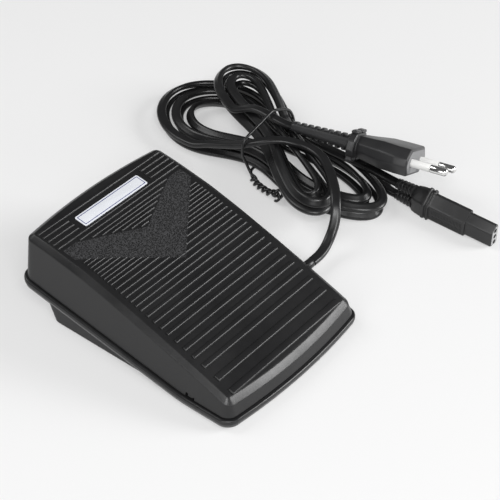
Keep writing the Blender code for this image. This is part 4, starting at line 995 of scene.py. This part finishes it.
@dataclass(frozen=True)
class Hank:
    """Flat oval loops drawn in at the waist, which spiral in on one layer and out on another."""

    centre: tuple[float, float]
    along: tuple[float, float]
    half_length: float
    half_widths: tuple[float, float]
    waist: float
    height: tuple[float, float]
    side: int
    phases: tuple[float, float]
    nose: float
    lane: float = 5.35
    lane_open: float = 5.8
    end_step: float = 8.5
    reach: float = 26.0

    def centreline(self, per_turn: int = 360) -> np.ndarray:
        """Return the loops' centre line.

        At running angle p the point lies (length) cos p along the hank. Across it lies the half
        width, which falls to zero over each nose as a quarter ellipse. For each turn from the
        nearer end, the half width shrinks by a lane, and the length and the nose by an end
        step. exp(-(forward / reach)^2) draws the half width to the waist, and the height
        changes layer midway.
        """
        start, end = np.radians(self.phases)
        total = (end - start) / (2 * math.pi)
        p = np.linspace(start, end, round(total * per_turn))
        turn = (p - start) / (2 * math.pi)
        inward = np.minimum(turn, total - turn)
        inward = inward - 0.12 * np.maximum(0, 1 - inward / 0.12)
        length = self.half_length - self.end_step * inward
        forward = length * np.cos(p)
        share = 0.5 * (1 + np.sin(math.pi / 2 * forward / self.half_length))
        opened = self.half_widths[1] + (self.half_widths[0] - self.half_widths[1]) * share
        drawn = np.exp(-(forward / self.reach) ** 2)
        half = opened + (self.waist - opened) * drawn
        half = half - (self.lane_open + (self.lane - self.lane_open) * drawn) * inward
        nose = self.nose - self.end_step * inward
        past = np.clip((np.abs(forward) - length + nose) / nose, 0, 1)
        sideways = self.side * np.sign(np.sin(p)) * half * np.sqrt(1 - past ** 2)
        axis = np.array(self.along) / np.linalg.norm(self.along)
        across = np.array((axis[1], -axis[0]))
        flat = np.array(self.centre) + forward[:, None] * axis + sideways[:, None] * across
        rise = np.clip((turn - total / 2) / 0.3 + 0.5, 0, 1)
        rise = rise * rise * (3 - 2 * rise)
        z = self.height[0] + (self.height[1] - self.height[0]) * rise + 1.35 * drawn
        return np.concatenate([flat, z[:, None]], axis=1)


@dataclass(frozen=True)
class Lead:
    """One flat twin cord: a route in, its hank, and a route out."""

    name: str
    before: tuple[tuple[float, float, float], ...]
    hank: Hank
    after: tuple[tuple[float, float, float], ...]
    rolled: float = 43.0  # tilt of the flat cord in the hank, in degrees
    section: tuple[float, float] = (5.0, 3.15)

    def path(self) -> np.ndarray:
        """Return the whole centre line: smooth curves into and out of the hank's loops."""
        loops = self.hank.centreline()
        first, last = loops[0] - loops[2], loops[-1] - loops[-3]
        start = loops[0] + first / np.linalg.norm(first) * 5.0
        stop = loops[-1] + last / np.linalg.norm(last) * 4.0
        into = curve_through([*self.before, tuple(start), tuple(loops[0])])
        out = curve_through([tuple(loops[-1]), tuple(stop), *self.after])
        return calmed(even(np.concatenate([into[:-1], loops, out[1:]]), 1.5), 8)

    def tilt(self, path: np.ndarray) -> np.ndarray:
        """Return how far the flat cord is rolled at each point.

        It lies flat on its free ends and is rolled on its edge in the hank, by a mean angle
        with a slow wave of 18 degrees that runs round the loops.
        """
        run = np.arange(len(path)) / (len(path) - 1)
        along = run * 1.5 * len(path)
        first, last = self.share(path)
        inside = np.clip(np.minimum(run - first, last - run) / 0.04, 0, 1)
        wave = 18.0 * np.sin(along / 31.0) + 7.0 * np.sin(along / 12.3)
        return np.radians(inside * (self.rolled + wave))

    def share(self, path: np.ndarray) -> tuple[float, float]:
        """Return where the hank starts and ends along the path, as shares of its length."""
        loops = self.hank.centreline()
        first, last = (int(np.argmin(np.linalg.norm(path - loops[k], axis=1))) / (len(path) - 1)
                       for k in (0, -1))
        return first, last

    def build(self, replaces: Sequence[str], far_end: str, pieces: Sequence[str]) -> None:
        """Args:
            replaces: the frame's nodes that it stands for.
            far_end: what is on its end; not used.
            pieces: names of the pieces on it; not used.
        """
        path = self.path()
        made = piece(self.name, swept(path, twin_ring(*self.section), self.tilt(path)), VINYL,
                     *replaces)


BOOT_X = 132.9
BOOT_Z = (3.8, 10.6)
BOOT_BACK = -22.8  # where the cords enter the connector's boots
PLUG_FACE_AT = (138.0, -28.8, 24.0)
PLUG_AXIS = (0.250, -0.967, -0.010)
PLUG_SIDE = (-0.845, -0.205, 0.494)


def cord_tip() -> np.ndarray:
    """Return where the mains cord enters the plug's boot."""
    return np.array(stand(PLUG_FACE_AT, PLUG_AXIS, PLUG_SIDE) @ Vector((0, 0, -66.6)))


def leads() -> tuple[Lead, Lead]:
    """Return the pedal's lead and the mains lead."""
    pedal = Lead(
        "pedal_lead",
        ((60.3, -24.0, 6.6), (64.3, -24.0, 6.6), (70.0, -23.4, 6.4), (77.5, -21.8, 9.4),
         (83.0, -20.6, 16.0), (87.0, -17.6, 21.6), (93.5, -12.0, 24.2), (102.8, -2.3, 24.2),
         (110.4, 7.4, 23.8), (113.4, 16.0, 23.6), (112.6, 26.0, 23.6), (107.4, 35.0, 24.2),
         (102.2, 43.0, 21.8), (99.6, 52.0, 17.2), (98.6, 62.0, 13.2), (97.4, 73.0, 9.4)),
        Hank((121.0, 45.0), (0.08, 0.997), 75.0, (33.0, 21.0), 16.5, (7.2, 2.5), 1,
             (-62.0, 4 * 360 + 94.0), 50.0),
        ((138.3, 24.0, 3.4), (141.6, 13.0, 3.8), (143.0, 2.0, 4.0), (138.8, -9.0, 3.9),
         (BOOT_X, BOOT_BACK + 6.0, BOOT_Z[0]), (BOOT_X, BOOT_BACK, BOOT_Z[0])))
    tip = cord_tip()
    before_tip = tip - np.array(PLUG_AXIS) * 4.2
    mains = Lead(
        "mains_lead",
        ((BOOT_X, BOOT_BACK, BOOT_Z[1]), (BOOT_X, BOOT_BACK + 6.0, BOOT_Z[1]), (132.4, -15.0, 11.4),
         (131.6, -5.0, 12.6), (130.8, 6.0, 13.2), (130.4, 20.0, 13.5), (131.4, 34.0, 14.0)),
        Hank((118.5, 43.0), (0.516, 0.857), 66.6, (15.0, 14.0), 9.9, (13.3, 18.1), -1,
             (-76.0, 3 * 360 + 64.0), 24.0),
        ((121.0, 66.0, 22.0), (121.2, 58.0, 25.0), tuple(before_tip), tuple(tip)), -43.0)
    return pedal, mains


@dataclass(frozen=True)
class Tie:
    """A coated wire round both hanks, with its two ends twisted at the left front."""

    radius: float = 0.75
    y: float = 48.0
    twist: tuple[float, float] = (1.45, 4.0)  # radius and turns
    tail: tuple[tuple[float, float, float], ...] = (
        (97.0, 41.0, 3.4), (95.0, 37.2, 2.9), (93.8, 31.5, 2.7), (93.6, 26.4, 2.8),
        (94.8, 22.4, 4.4), (93.4, 20.4, 2.9), (91.6, 22.4, 2.6))

    def build(self) -> None:
        """Make the tie: a strand round the bundle, then both ends as a double helix.

        The helix winds round a bent line, one strand half a turn behind the other.
        """
        y = self.y
        ring = curve_through((
            (98.4, y - 4.6, 4.2), (98.6, y - 1.5, 8.5), (97.2, y, 14.0), (97.1, y, 19.8),
            (99.0, y, 22.9), (105.0, y, 24.8), (113.0, y, 26.7), (120.7, y, 28.5), (125.6, y, 26.8),
            (134.6, y, 22.0), (138.9, y, 15.2), (140.4, y, 9.0), (142.3, y, 3.4), (139.6, y, 0.85),
            (121.0, y, 0.85), (106.0, y, 0.85), (101.6, y - 2.4, 1.0), (98.6, y - 5.6, 1.9)))
        axis = even(curve_through(self.tail), 0.25)
        ahead = np.gradient(axis, axis=0)
        side = np.cross(ahead, (0.0, 0.0, 1.0))
        side /= np.linalg.norm(side, axis=1, keepdims=True)
        up = np.cross(side, ahead / np.linalg.norm(ahead, axis=1, keepdims=True))
        radius, turns = self.twist
        strands = []
        for phase in (math.pi / 2, -math.pi / 2):
            a = (phase + 2 * math.pi * turns * np.linspace(0, 1, len(axis)))[:, None]
            strands.append(axis + radius * (np.cos(a) * side + np.sin(a) * up))
        path = calmed(even(np.concatenate([strands[0][::-1], ring, strands[1]]), 0.7), 3)
        made = piece("bundle_tie", swept(path, circle(self.radius, 10)), VINYL, "twist_tie")


# ------------------------------------------------------------------ connector and plug


@dataclass(frozen=True)
class Connector:
    """The machine's connector, standing on its narrow side, with two boots and three contacts."""

    x: float = 129.4
    y: tuple[float, ...] = (-80.0, -65.0, -44.0, -41.6, -33.4)
    z: float = 0.3
    size: tuple[float, float] = (7.5, 13.0)
    boot: tuple[float, float] = (3.35, 10.0)  # radius and length
    contact: tuple[float, float] = (2.6, 3.3)  # height of the lowest over the foot, and pitch

    def corners(self, y: float, grow: float, low: float) -> list:
        """Return one section's six corners in (x, z) with its y: a box with one sloped edge.

        The slope takes 0.64 of the section's width, and the other top corner 0.15 of it.
        """
        wide, tall = self.size[0] + 2 * grow, self.size[1]
        x0, x1 = self.x - grow, self.x + wide - grow
        z0, z1 = self.z + low, self.z + tall + grow
        slope, nick = 0.64 * wide, 0.15 * wide
        return [y, (x0, z0), (x0, z1 - slope), (x0 + slope, z1), (x1 - nick, z1), (x1, z1 - nick),
                (x1, z0)]

    def lofted(self, sections: Sequence[list], radius: float = 0.9) -> Surface:
        """Loft softened sections along Y."""
        rings = softened(np.array([s[1:] for s in sections], float), radius, 6)
        y = np.array([s[0] for s in sections], float)[:, None, None]
        grid = np.concatenate([rings[..., :1], np.broadcast_to(y, (*rings.shape[:2], 1)),
                               rings[..., 1:]], axis=-1)
        return skin(grid)

    def body(self) -> None:
        """Build the body: nose, step, broad middle, flange and housing."""
        nose, step, flange, housing, back = self.y
        c = self.corners
        rows = [c(nose, -1.2, 1.0), c(nose + 0.3, -0.9, 0.8), c(step - 0.3, -0.9, 0.8),
                c(step - 0.05, -0.8, 0.7), c(step + 0.1, -0.15, 0.3), c(step + 0.5, 0, 0.2),
                c(flange - 0.4, 0, 0.2), c(flange - 0.1, 0.3, 0.15), c(flange, 1.0, 0.05),
                c(flange + 0.25, 1.2, 0), c(flange + 0.8, 1.2, 0), c(flange + 1.0, 0.7, 0.05),
                c(flange + 1.2, 0.5, 0.1), c(housing - 0.2, 0.5, 0.1), c(housing, 0.9, 0.05),
                c(housing + 0.3, 1.2, 0), c(housing + 1.3, 1.2, 0), c(housing + 1.7, 0.7, 0.05),
                c(housing + 4.8, 0.35, 0.15), c(back - 1.0, -0.1, 0.3), c(back, -0.6, 0.6)]
        shell = piece("machine_connector", self.lofted(rows), SOCKET_VINYL,
                      "connector_body")
        middle = self.x + self.size[0] / 2 + 0.3
        toward = stand((middle, nose - 1.0, 0), (0, 1, 0), (1, 0, 0))
        wells = [turned([(1.2, 0.0), (1.2, 10.0)], 24).moved(
            Matrix.Translation((0, 0, self.z + self.contact[0] + self.contact[1] * k)) @ toward)
            for k in range(3)]
        carved(shell, joined(wells))
        face = self.lofted([c(nose - 0.12, -1.6, 1.45), c(nose + 0.2, -1.6, 1.45)], 0.7)
        panel = piece("connector_nose_panel", face, SOCKET_FACE)
        carved(panel, joined(wells))
        for k in range(3):
            tube = turned([(0.5, 0.0), (0.86, 0.0), (0.9, 0.1), (0.9, 7.0), (0.5, 7.0)], 24)
            tube.faces = [f for f in tube.faces if len(f) == 4]
            z = self.z + self.contact[0] + self.contact[1] * k
            lining = skin(np.stack([np.column_stack([circle(0.5, 24), np.full(24, h)])
                                    for h in (0.0, 7.0)]), caps=False)
            piece(f"contact_tube_{k + 1}", joined([tube, lining]).moved(
                stand((middle, nose + 8.7, z), (0, -1, 0), (1, 0, 0))), BRASS,
                f"connector_contact_{k + 1}")

    def grips(self) -> None:
        """Build the raised marks: rows of fine grip bars on the side, and two flange stripes."""
        bars = []
        y = np.arange(self.y[1] + 2.0, self.y[2] - 1.5, 0.86)
        for low in (0.9, 4.2):
            bars += [block((self.x - 0.02, float(v), self.z + low + 1.3), (0.5, 0.42, 2.5), 0.1)
                     for v in y]
        top = self.z + self.size[1]
        for k in (0, 1):
            at = self.y[3] - 1.9 + 1.1 * k
            line = np.array([(self.x - 0.45, at, self.z + 1.2), (self.x - 0.5, at - 0.2, top - 5.6),
                             (self.x + 2.4, at - 0.35, top - 2.3),
                             (self.x + 5.1, at - 0.2, top + 0.42), (self.x + 7.0, at, top + 0.4)])
            bars.append(swept(even(curve_through(line), 0.6), circle(0.34, 8)))
        piece("connector_grips", joined(bars), SOCKET_VINYL)

    def boots(self) -> None:
        """Build the two ringed boots: a tapered tube with five rings, cut by side slots.

        The radius is the taper, plus a ring wave along it, less a slot where the wave round
        it is high.
        """
        radius, length = self.boot
        along = np.linspace(0, length, 121)[:, None]
        a = np.linspace(0, 2 * math.pi, 40, endpoint=False)[None, :]
        rings = 0.5 + 0.5 * np.tanh(5 * np.sin(2 * math.pi * along / 2.05 + 1.0))
        slots = 1 - 0.55 * (np.abs(np.cos(a)) > 0.86)
        r = radius - 0.06 * along - 1.15 * (1 - rings) * slots
        z = np.broadcast_to(along, r.shape)
        grid = np.stack([r * np.cos(a), r * np.sin(a), z], axis=-1)
        rim = [np.stack([k * grid[e, :, 0], k * grid[e, :, 1], grid[e, :, 2]], 1)
               for e, k in ((0, 0.8), (-1, 0.72))]
        shape = skin(np.concatenate([rim[0][None], grid, rim[1][None]]))
        for letter, z in zip("ab", BOOT_Z):
            at = stand((BOOT_X, self.y[4] + GAP, z), (0, 1, 0), (1, 0, 0))
            piece(f"connector_sleeve_{letter}", shape.moved(at), SOCKET_VINYL,
                  f"connector_boot_{letter}")

    def build(self) -> None:
        """Build the whole connector."""
        self.body()
        self.grips()
        self.boots()


@dataclass(frozen=True)
class MainsPlug:
    """Flat two-pin plug with a slotted boot. Local Z runs out along the pins."""

    length: float = 34.0
    boot: float = 32.0
    pin: tuple[float, float, float] = (2.0, 19.0, 9.0)  # radius, length, half spacing

    def place(self) -> Matrix:
        """Return the plug's place."""
        return stand(PLUG_FACE_AT, PLUG_AXIS, PLUG_SIDE)

    def body(self) -> None:
        """Build the body as chamfered sections: rear flange, waist, widening grip, and face."""
        knots = np.array([
            (-34.0, 18, 8.6, 3.0), (-33.5, 21.4, 11.8, 3.4), (-33.2, 22, 12.6, 3.6),
            (-30.2, 22, 12.6, 3.6), (-29.8, 21.4, 12.2, 3.6), (-29.4, 17.4, 11.2, 3.6),
            (-29.0, 17.0, 11.0, 3.6), (-26.0, 20, 11.4, 3.9), (-16.4, 30.0, 13.5, 4.5),
            (-15.6, 30.6, 13.7, 4.5), (-7.4, 35.1, 13.7, 4.9), (-6.6, 35.3, 13.7, 4.9),
            (-0.9, 35.3, 13.7, 4.9), (-0.35, 35.0, 13.4, 4.9), (0, 34.2, 12.6, 4.8)])
        z = knots[:, 0]
        w, t, c = knots[:, 1] / 2, knots[:, 2] / 2, knots[:, 3]
        eight = np.stack([np.stack(pair, -1) for pair in (
            (w, t - c), (w - c, t), (c - w, t), (-w, t - c), (-w, c - t), (c - w, -t), (w - c, -t),
            (w, c - t))], axis=1)
        shell = piece("mains_plug_body", stacked(softened(eight, 0.8, 5), z).moved(self.place()),
                      PLUG_VINYL, "plug_body")
        roots = [turned([(2.3, 0.0), (2.3, 12.0)], 28).moved(self.pin_place(side, -6.3))
                 for side in (-1, 1)]
        carved(shell, joined(roots))
        face = stacked(softened(eight[-1:] * (0.93, 0.88), 0.8, 5).repeat(2, axis=0),
                       np.array((-0.2, 0.15)))
        panel = piece("plug_face_panel", face.moved(self.place()), PLUG_FACE)
        carved(panel, joined(roots))
        tabs = [block((x, y, -31.7), (7.5, thick, 3.4), 0.4)
                for y, thick in ((6.9, 2.6), (-6.9, 1.6)) for x in (-4.6, 4.6)]
        piece("plug_tabs", joined(tabs).moved(self.place()), PLUG_VINYL)

    def pin_place(self, side: int, along: float) -> Matrix:
        """Return a pin's place, this far from the face; the pins lean together at their tips."""
        _, length, half = self.pin
        foot, tip = (self.place() @ Vector((side * (half - 0.4 * k), 0, k * length - (1 - k) * 6.0))
                     for k in (0, 1))
        out = (tip - foot).normalized()
        return stand(foot + out * (6.0 + along), out, PLUG_SIDE)

    def pins(self) -> None:
        """Build the pins: a bright round-ended tip, and a white sleeve over its root."""
        radius, length, _ = self.pin
        quarter = np.linspace(0, math.pi / 2, 10)
        dome = [(radius * math.cos(a), length - 1.6 + 1.6 * math.sin(a)) for a in quarter]
        dome[-1] = (0.0, length)
        bar = turned([(1.5, -6.0), (1.5, 10.1), (1.9, 10.1), (radius, 10.25), *dome], 36)
        root = turned([(1.8, -5.6), (1.98, -5.5), (radius, -5.2), (radius, 9.6), (1.93, 9.75),
                       (1.8, 9.8)], 36)
        bore = turned([(1.55, -7.0), (1.55, 12.0)], 36)
        for k, side in enumerate((-1, 1)):
            piece(f"contact_pin_{k + 1}", bar.moved(self.pin_place(side, 0.0)), NICKEL,
                  f"plug_pin_{k + 1}")
            sleeve = piece(f"pin_insulation_{k + 1}", root.moved(self.pin_place(side, 0.0)), WHITE,
                           f"pin_sleeve_{k + 1}")
            carved(sleeve, bore.moved(self.pin_place(side, 0.0)))

    def sleeve(self) -> None:
        """Build the long boot: a tapering oval whose ribs are broken by slots on both sides.

        Its section shrinks along it from 12 x 9, by 4.6 x 3.2 over the boot's full length. It
        is drawn in by 1 where the rib wave is low, except on the spines at both sides, and the
        waves of the two faces are half a step apart.
        """
        along = np.linspace(0, self.boot - 1.6, 241)[:, None]
        a = np.linspace(0, 2 * math.pi, 56, endpoint=False)[None, :]
        share = along / self.boot
        wave = np.sin(2 * math.pi * along / 3.6 + math.pi * (np.sin(a) > 0))
        groove = np.clip(0.5 - 2.2 * wave, 0, 1) * (np.abs(np.cos(a)) < 0.80)
        w, t = (12.0 - 4.6 * share) / 2, (9.0 - 3.2 * share) / 2
        x = (w - groove) * np.sign(np.cos(a)) * np.abs(np.cos(a)) ** 0.8
        y = (t - groove) * np.sign(np.sin(a)) * np.abs(np.sin(a)) ** 0.8
        z = np.broadcast_to(-along, x.shape) - self.length - GAP
        grid = np.stack([x, y, z], axis=-1)
        first, last = grid[:1] * (0.9, 0.9, 1.0), grid[-1:]
        end = [last * (k, k, 1.0) - (0, 0, d) for k, d in ((0.93, 0.9), (0.84, 1.5), (0.72, 1.6))]
        piece("mains_plug_boot", skin(np.concatenate([first, grid, *end])).moved(self.place()),
              PLUG_VINYL, "plug_boot")

    def build(self) -> None:
        """Build the whole plug."""
        self.body()
        self.pins()
        self.sleeve()


# ------------------------------------------------------------------ studio


@dataclass(frozen=True)
class Lamp:
    """A square soft lamp: where it hangs in metres, its side, its power, and its name."""

    name: str
    place: tuple[float, float, float]
    side: float
    watts: float

    def hang(self, target: Vector) -> None:
        """Hang the lamp and turn it to the target."""
        data = bpy.data.lights.new(self.name, "AREA")
        data.size, data.energy = self.side, self.watts
        lamp = bpy.data.objects.new(self.name, data)
        lamp.location = self.place
        lamp.rotation_euler = (target - Vector(self.place)).to_track_quat("-Z", "Y").to_euler()
        bpy.context.scene.collection.objects.link(lamp)


@dataclass(frozen=True)
class Studio:
    """Camera, lamps, pale floor and world."""

    eye: tuple[float, float, float] = (-0.4320, -0.3683, 0.5135)
    gaze: tuple[float, float, float] = (0.60705, 0.47030, -0.64055)
    roll: float = 1.52
    focal: float = 119.33
    target: tuple[float, float, float] = (0.03, 0.01, 0.02)
    lamps: tuple[Lamp, ...] = (
        Lamp("front lamp", (0.95, -1.10, 0.62), 0.72, 20.0),
        Lamp("key lamp", (-0.72, -0.72, 1.05), 0.6, 12.0),
        Lamp("rear lamp", (-0.35, 0.95, 1.15), 0.8, 6.5),
        Lamp("left lamp", (-1.3, -0.25, 0.55), 0.7, 5.0),
        Lamp("low front lamp", (-0.15, -1.45, 0.42), 0.5, 2.2),
    )

    def camera(self) -> None:
        """Set the camera up: right is gaze x Z turned by the roll, up is right x gaze."""
        data = bpy.data.cameras.new("camera")
        data.lens, data.sensor_width = self.focal, 36.0
        data.clip_start, data.clip_end = 0.01, 20.0
        camera = bpy.data.objects.new("camera", data)
        gaze = Vector(self.gaze).normalized()
        level = gaze.cross(Vector((0, 0, 1))).normalized()
        turn = math.radians(self.roll)
        right = level * math.cos(turn) + level.cross(gaze) * math.sin(turn)
        up = right.cross(gaze)
        camera.matrix_world = Matrix.Translation(Vector(self.eye)) @ Matrix(
            (right, up, -gaze)).transposed().to_4x4()
        bpy.context.scene.collection.objects.link(camera)
        bpy.context.scene.camera = camera

    def floor(self) -> None:
        """Lay the pale floor, which is lifted to white for what sees it but keeps shadows."""
        half = 4.0
        mesh = bpy.data.meshes.new("floor")
        mesh.from_pydata([(-half, -half, 0), (half, -half, 0), (half, half, 0), (-half, half, 0)],
                         [], [(0, 1, 2, 3)])
        floor = bpy.data.objects.new("floor", mesh)
        bpy.context.scene.collection.objects.link(floor)
        paint = bpy.data.materials.new("floor paper")
        paint.use_nodes = True
        nodes = Nodes(paint.node_tree)
        shader = paint.node_tree.nodes["Principled BSDF"]
        shader.inputs["Base Color"].default_value = (0.50, 0.50, 0.50, 1.0)
        shader.inputs["Roughness"].default_value = 0.9
        shader.inputs["Specular IOR Level"].default_value = 0.1
        shader.inputs["Emission Color"].default_value = (1.0, 1.0, 1.0, 1.0)
        rays = nodes.add("ShaderNodeLightPath")
        seen = nodes.maths("MAXIMUM", rays.outputs["Is Camera Ray"], rays.outputs["Is Glossy Ray"])
        lift = nodes.maths("MULTIPLY", seen, 0.36)
        paint.node_tree.links.new(lift, shader.inputs["Emission Strength"])
        mesh.materials.append(paint)

    def world(self) -> None:
        """Give the world a plain grey light, which is white where the camera sees it."""
        world = bpy.data.worlds.new("studio")
        bpy.context.scene.world = world
        world.use_nodes = True
        nodes = Nodes(world.node_tree)
        rays = nodes.add("ShaderNodeLightPath")
        strength = nodes.maths("MULTIPLY_ADD", rays.outputs["Is Camera Ray"], 0.88, 0.12)
        world.node_tree.links.new(strength, world.node_tree.nodes["Background"].inputs["Strength"])
        world.node_tree.nodes["Background"].inputs["Color"].default_value = (1.0, 1.0, 1.0, 1.0)

    def build(self) -> None:
        """Set the studio up."""
        self.camera()
        self.floor()
        self.world()
        for lamp in self.lamps:
            lamp.hang(Vector(self.target))
        bpy.context.scene.view_settings.view_transform = "Standard"


def main() -> None:
    """Build the studio and every piece, in order."""
    logging.basicConfig(level=logging.INFO, format="%(name)s %(message)s")
    Studio().build()
    Connector().build()
    MainsPlug().build()
    pedal, mains = leads()
    pedal.build(["pedal_cord_free", "pedal_cord_hank", "pedal_cord_tail"], "connector",
                ["machine_connector", "connector_grips", "connector_nose_panel",
                 "connector_sleeve_a", "connector_sleeve_b"])
    mains.build(["mains_cord_hank", "mains_cord_tail", "mains_cord_plug_end"], "plug",
                ["mains_plug_body", "mains_plug_boot", "plug_face_panel", "plug_tabs",
                 "contact_pin_1", "contact_pin_2", "pin_insulation_1", "pin_insulation_2"])
    Tie().build()
    Stand().build()
    Treadle().build()


if __name__ == "__main__":
    main()
